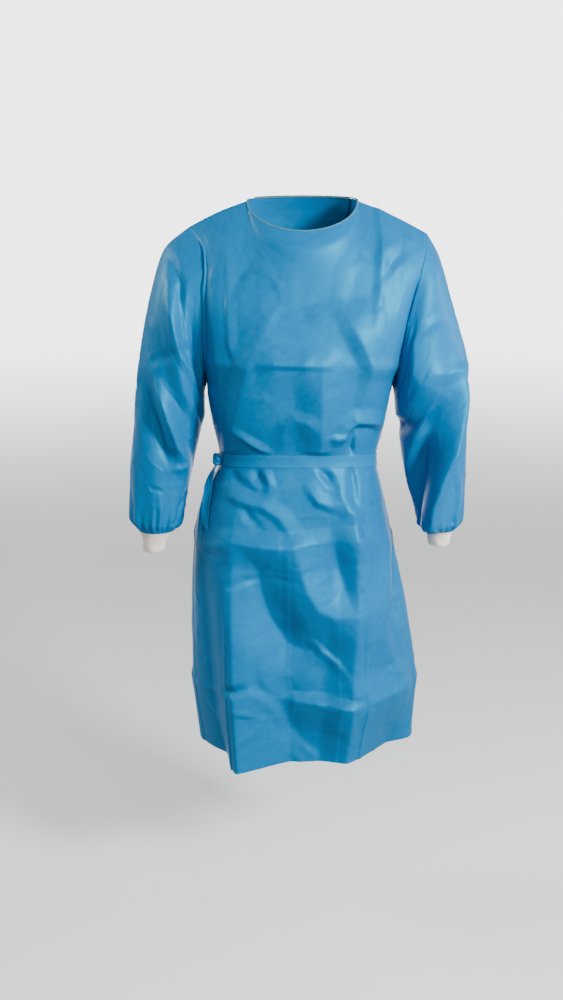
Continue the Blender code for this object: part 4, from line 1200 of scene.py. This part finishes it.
def binding_shape():
    edge, outwards, climb = neck_path()
    around = np.linspace(0, 2 * pi, 13)[:-1]
    thick = 0.0010 * np.sign(np.sin(around)) * np.abs(np.sin(around)) ** 0.6
    tall = 0.0017 - 0.0017 * np.sign(np.cos(around)) * np.abs(np.cos(around)) ** 0.6
    rings = edge[None] + outwards[None] * thick[:, None, None] + climb[None] * tall[:, None, None]
    return edge, outwards, climb, rings.transpose(1, 0, 2)


def tube(name, rings, material, nodes=()):
    """A tube through rings of points, closed at both ends."""
    count, sides = rings.shape[:2]
    index = np.arange(count * sides).reshape(count, sides)
    index = np.concatenate((index, index[:, :1]), axis=1)
    a, b, c, d = index[:-1, :-1], index[1:, :-1], index[1:, 1:], index[:-1, 1:]
    quads = [np.stack((a, d, c, b), axis=-1).reshape(-1, 4)]
    for row, flip in ((0, False), (-1, True)):
        ring = index[row, :-1]
        for n in range(1, sides // 2):
            face = (ring[n - 1], ring[n], ring[-n - 1], ring[-n]) if n > 1 else (
                ring[0], ring[1], ring[-2], ring[-1])
            quads.append(np.array([face[::-1] if flip else face]))
    faces = np.concatenate(quads)
    run = np.concatenate(([0], np.linalg.norm(np.diff(rings.mean(axis=1), axis=0), axis=-1).cumsum()))
    flat = np.stack(np.broadcast_arrays(run[:, None], np.arange(sides)[None, :] * 0.0009), axis=-1)
    flat = flat.reshape(-1, 2)
    return add_object(name, rings.reshape(-1, 3), [faces], [flat[faces]], material, nodes)


neck_edge, neck_out, neck_climb, neck_rings = binding_shape()
binding = tube("gown_binding", neck_rings, binding_cloth, ("neck_binding",))


# Belt, knot and ends


def belt_shape():
    columns = 560
    heights = np.linspace(-1, 1, 11)
    u = np.linspace(-1, 3, columns + 1)[:-1]
    z = BELT_Z - heights * BELT_HEIGHT / 2
    around = np.where(u > 2 + LAP_SHARE, u - 4, u)
    at = body_point(around[None, :], row_at(z)[:, None])
    out = grid_normals(at, closed=True)
    lap = np.interp(u, (2 - NECK_SHARE, 2 - LAP_SHARE, 2 + LAP_SHARE, 2 + LAP_SHARE + 0.05), (0, 1, 1, 0))
    lift = BELT_LIFT + LAP_RISE * lap[None, :]
    wave = 0.0005 * np.sin(u * 17 + 2 * np.sin(u * 5))[None, :] * heights[:, None]
    puff = 0.0004 * (1 - heights[:, None] ** 4)
    lift = lift + wave + puff
    outer = at + out * (lift + BELT_SHEET)[..., None]
    inner = at + out * (lift - puff)[..., None]
    whole = np.linspace(0, 4 * METRES_PER_U, columns + 1)
    place = np.stack(np.broadcast_arrays(-whole[None, :], z[:, None]), axis=-1)
    return outer, inner, place[..., ::-1], out


belt_outer, belt_inner, belt_place, belt_out = belt_shape()
belt = shell(
    "gown_belt", belt_outer, belt_inner, belt_place, belt_cloth, ("waist_belt",),
    closed=True,
)


def knot_shape():
    """The knot: a flat strip passed round itself, drawn tight."""
    at = body_point(np.array(KNOT_U), np.array(row_at(BELT_Z)))
    away = unit(np.array((at[0], at[1] * KNOT_FACE, 0.0)))
    beside = np.array((-away[1], away[0], 0.0))
    up = np.array((0.0, 0.0, 1.0))
    centre = at + away * KNOT_LIFT
    polar = np.linspace(0.02, pi - 0.02, 49)[:, None]
    turn = np.linspace(0, 2 * pi, 72, endpoint=False)[None, :]
    a = np.sin(polar) * np.cos(turn)
    b = np.sin(polar) * np.sin(turn)
    c = np.cos(polar) + 0 * turn
    band = np.sin((b * 1.2 + c * 0.9) * 5.0 + 0.4)
    cross = np.sin((b * 0.7 - c * 1.4) * 4.0)
    wrap = 1 + 0.09 * np.sign(band) * np.abs(band) ** 0.5 * np.clip(a + 0.6, 0, 1) + 0.03 * cross
    points = centre + (
        away * (a * KNOT_SIZE[0])[..., None]
        + beside * (b * KNOT_SIZE[1])[..., None]
        + up * (c * KNOT_SIZE[2])[..., None]
    ) * wrap[..., None]
    points[..., 2] = np.maximum(points[..., 2], centre[2] - KNOT_FOOT)
    return points, centre


knot_points, knot_centre = knot_shape()
knot_inner = knot_centre + (knot_points - knot_centre) * 0.75
knot_place = np.stack(
    np.broadcast_arrays(
        np.linspace(0, 0.06, 73)[None, :], np.linspace(0, 0.04, 49)[:, None]
    ), axis=-1,
)
knot = shell(
    "gown_knot", knot_points, knot_inner, knot_place, belt_cloth, ("belt_knot",),
    closed=True,
)


def end_shape(end):
    rows, columns = 60, 12
    drop = np.linspace(0, 1, rows + 1)[:, None]
    side = np.linspace(-1, 1, columns + 1)[None, :]
    z = end.z_start + (end.z_end - end.z_start) * drop
    u = end.u_start + (end.u_end - end.u_start) * drop
    middle = body_point(u, row_at(z))
    surface = body_point(u + side * end.half_width / METRES_PER_U, row_at(z - end.slant * drop * side))
    out = grid_normals(surface)
    lift = end.lift_start + (end.lift_end - end.lift_start) * drop
    hugging = surface + out * lift[..., None]
    facing = middle + unit(np.array((1.0, -0.25, 0.0))) * (side * end.half_width)[..., None]
    facing = facing + grid_normals(surface)[:, columns // 2:columns // 2 + 1] * (lift + 0.003)[..., None]
    facing = facing + np.array((0.0, 0.0, -1.0)) * (end.slant * drop * side)[..., None]
    share = end.open_out * np.sin(np.clip(drop, 0, 1) * pi * 0.8)
    points = hugging + (facing - hugging) * share[..., None]
    out = grid_normals(points)
    fold = 0.0009 * np.sin(drop * 9 + side * 1.5) * np.sin(drop * pi)
    cup = 0.0016 * (side**2 - 0.4) * np.sin(drop * pi)
    points = points + out * (fold + cup)[..., None]
    squeeze = 1 - 0.45 * np.clip(1 - drop * 7, 0, 1) ** 2
    centre = points[:, columns // 2:columns // 2 + 1]
    points = centre + (points - centre) * squeeze[..., None]
    points[..., 2] = np.minimum(points[..., 2], knot_centre[2] - KNOT_FOOT + 0.001)
    place = np.stack(np.broadcast_arrays(side * 0.013, -drop * 0.13), axis=-1)
    return points, points - grid_normals(points) * BELT_SHEET, place


for end in TIE_ENDS:
    outer, inner, place = end_shape(end)
    shell(
        "gown_" + end.name, outer, inner, place, belt_cloth, (end.name,)
    )


# Stitches


def stitch_tree(material):
    """Geometry Nodes: even stitches laid along a line."""
    tree = bpy.data.node_groups.new("stitch_line", "GeometryNodeTree")
    face = tree.interface
    face.new_socket("Geometry", in_out="INPUT", socket_type="NodeSocketGeometry")
    ids = {}
    for label, default in (("Spacing", 0.0032), ("Length", 0.0022), ("Radius", 0.00022)):
        socket = face.new_socket(label, in_out="INPUT", socket_type="NodeSocketFloat")
        socket.default_value = default
        ids[label] = socket.identifier
    face.new_socket("Geometry", in_out="OUTPUT", socket_type="NodeSocketGeometry")
    nodes, links = tree.nodes, tree.links
    start = nodes.new("NodeGroupInput")
    end = nodes.new("NodeGroupOutput")
    line = nodes.new("GeometryNodeMeshToCurve")
    spaced = nodes.new("GeometryNodeResampleCurve")
    spaced.mode = "LENGTH"
    spaced.inputs["Length"].default_value = 0.0032
    grain = nodes.new("GeometryNodeMeshUVSphere")
    grain.inputs["Segments"].default_value = 6
    grain.inputs["Rings"].default_value = 5
    grain.inputs["Radius"].default_value = 1.0
    half = nodes.new("ShaderNodeMath")
    half.operation = "MULTIPLY"
    half.inputs[1].default_value = 0.5
    size = nodes.new("ShaderNodeCombineXYZ")
    way = nodes.new("GeometryNodeInputTangent")
    turned = nodes.new("FunctionNodeAlignRotationToVector")
    turned.axis = "Z"
    placed = nodes.new("GeometryNodeInstanceOnPoints")
    real = nodes.new("GeometryNodeRealizeInstances")
    painted = nodes.new("GeometryNodeSetMaterial")
    painted.inputs["Material"].default_value = material
    for a, b in (
        (start.outputs["Geometry"], line.inputs["Mesh"]),
        (line.outputs["Curve"], spaced.inputs["Curve"]),
        (start.outputs["Spacing"], spaced.inputs["Length"]),
        (spaced.outputs["Curve"], placed.inputs["Points"]),
        (grain.outputs["Mesh"], placed.inputs["Instance"]),
        (start.outputs["Length"], half.inputs[0]),
        (start.outputs["Radius"], size.inputs["X"]),
        (start.outputs["Radius"], size.inputs["Y"]),
        (half.outputs[0], size.inputs["Z"]),
        (size.outputs[0], placed.inputs["Scale"]),
        (way.outputs["Tangent"], turned.inputs["Vector"]),
        (turned.outputs["Rotation"], placed.inputs["Rotation"]),
        (placed.outputs["Instances"], real.inputs["Geometry"]),
        (real.outputs["Geometry"], painted.inputs["Geometry"]),
        (painted.outputs["Geometry"], end.inputs["Geometry"]),
    ):
        links.new(a, b)
    return tree, ids


def stitch_line(name, lines, tree, ids, material, spacing=0.0032, length=0.0022):
    """Stitches along each line of points, as one plain mesh."""
    vertices = np.concatenate(lines)
    edges = []
    first = 0
    for line in lines:
        edges += [(first + n, first + n + 1) for n in range(len(line) - 1)]
        first += len(line)
    mesh = bpy.data.meshes.new(name + "_line")
    mesh.from_pydata(vertices.tolist(), edges, [])
    guide = bpy.data.objects.new(name + "_line", mesh)
    bpy.context.collection.objects.link(guide)
    modifier = guide.modifiers.new("stitches", "NODES")
    modifier.node_group = tree
    modifier[ids["Spacing"]] = spacing
    modifier[ids["Length"]] = length
    modifier[ids["Radius"]] = 0.00024
    bpy.context.view_layer.update()
    graph = bpy.context.evaluated_depsgraph_get()
    made = bpy.data.meshes.new_from_object(guide.evaluated_get(graph))
    guide.modifiers.remove(modifier)
    bpy.data.objects.remove(guide, do_unlink=True)
    made.name = name
    item = bpy.data.objects.new(name, made)
    bpy.context.collection.objects.link(item)
    item.data.shade_smooth()
    if not item.data.materials:
        item.data.materials.append(material)
    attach(item, "root")
    return item


blue_tree, blue_ids = stitch_tree(blue_thread)
white_tree, white_ids = stitch_tree(white_thread)
neck_line = neck_edge + neck_climb * 0.0012 + neck_out * 0.00125
neck_stitches = stitch_line(
    "stitches_neck", [neck_line], blue_tree, blue_ids, blue_thread
)
belt_lines = []
for row in (1, -2):
    line = belt_outer[row] + belt_out[row] * 0.00010
    belt_lines.append(np.concatenate((line, line[:1])))
belt_stitches = stitch_line(
    "stitches_belt", belt_lines, blue_tree, blue_ids, blue_thread, 0.0036, 0.0026
)
cuff_lines = []
for sections in (SLEEVE_LEFT, SLEEVE_RIGHT):
    last = sections[-1]
    reach = abs(last.outer_x - last.inner_x) / 2 - 0.0002
    turn = np.linspace(0, 2 * pi, 120)
    cuff_lines.append(np.stack((
        (last.outer_x + last.inner_x) / 2 + reach * np.cos(turn),
        last.middle_y - (last.half_depth - 0.0002) * np.sin(turn),
        last.outer_z - 0.0012 + 0 * turn,
    ), axis=-1))
cuff_stitches = stitch_line(
    "stitches_cuffs", cuff_lines, white_tree, white_ids, white_thread
)


# Stage: plain pale floor, soft studio light, brighter from the backdrop behind

FRONT_GLOW = 0.42
BACKDROP_GLOW = 4.0
BACKDROP_FROM = 0.78
BACKDROP_FULL = 0.96
GLOW_COLOUR = (0.96, 0.97, 1.0, 1.0)


def floor():
    mesh = bpy.data.meshes.new("floor")
    reach = 40.0
    level = -1.562
    mesh.from_pydata(
        [(-reach, -reach, level), (reach, -reach, level), (reach, reach, level), (-reach, reach, level)],
        [], [(0, 1, 2, 3)],
    )
    shade = Shade("floor_pale")
    here = shade.node("ShaderNodeTexCoord")[3]
    cloud = shade.noise(here, 1.2, 3.0, 0.5)
    base = shade.blend(cloud, (0.83, 0.83, 0.83, 1), (0.87, 0.87, 0.87, 1))
    material = shade.finish(Base_Color=base, Roughness=0.75)
    across, back, _ = shade.node("ShaderNodeSeparateXYZ", None, {0: here})
    far = (across * across + back * back).math("SQRT")
    behind = shade.ramp(back / far, BACKDROP_FROM, BACKDROP_FULL)
    glow = shade.blend(behind, rgb(GLOW_COLOUR, FRONT_GLOW), rgb(GLOW_COLOUR, BACKDROP_GLOW))
    distant = shade.node("ShaderNodeEmission", None, {0: glow, 1: 1.0})[0]
    output = shade.tree.nodes["Material Output"]
    mixed = shade.tree.nodes.new("ShaderNodeMixShader")
    shade.give(mixed.inputs[0], shade.ramp(far, 2.0, 11.0))
    shade.tree.links.new(shade.surface.outputs[0], mixed.inputs[1])
    shade.tree.links.new(distant.socket, mixed.inputs[2])
    shade.tree.links.new(mixed.outputs[0], output.inputs[0])
    mesh.materials.append(material)
    item = bpy.data.objects.new("floor", mesh)
    item.visible_diffuse = False
    item.visible_glossy = False
    bpy.context.collection.objects.link(item)


def area_light(name, place, aim, size, power):
    lamp = bpy.data.lights.new(name, "AREA")
    lamp.shape = "RECTANGLE"
    lamp.size, lamp.size_y = size
    lamp.energy = power
    item = bpy.data.objects.new(name, lamp)
    item.location = place
    item.rotation_euler = (Vector(aim) - Vector(place)).to_track_quat("-Z", "Y").to_euler()
    bpy.context.collection.objects.link(item)
    return item


floor()
area_light("key", (2.07, -2.07, 0.70), (0.0, 0.0, -0.60), (0.6, 0.6), 185)
area_light("front", (0.78, -2.90, 0.50), (0.0, 0.0, -0.60), (1.2, 1.2), 30)
area_light("side_right", (-2.78, 0.49, 0.90), (0.0, 0.0, -0.60), (0.8, 1.2), 64)
area_light("side_left", (3.04, 0.54, 0.23), (0.0, 0.0, -0.50), (0.5, 1.2), 30)

world = bpy.data.worlds.new("studio")
bpy.context.scene.world = world
world.use_nodes = True
sky = world.node_tree
background = sky.nodes["Background"]
way = sky.nodes.new("ShaderNodeTexCoord")
parts = sky.nodes.new("ShaderNodeSeparateXYZ")
behind = sky.nodes.new("ShaderNodeMapRange")
behind.interpolation_type = "SMOOTHSTEP"
behind.inputs[1].default_value = BACKDROP_FROM
behind.inputs[2].default_value = BACKDROP_FULL
glow = sky.nodes.new("ShaderNodeMix")
glow.data_type = "RGBA"
glow.inputs[6].default_value = rgb(GLOW_COLOUR, FRONT_GLOW)
glow.inputs[7].default_value = rgb(GLOW_COLOUR, BACKDROP_GLOW)
sky.links.new(way.outputs["Generated"], parts.inputs[0])
sky.links.new(parts.outputs["Y"], behind.inputs[0])
sky.links.new(behind.outputs[0], glow.inputs[0])
sky.links.new(glow.outputs[2], background.inputs["Color"])
background.inputs["Strength"].default_value = 1.0
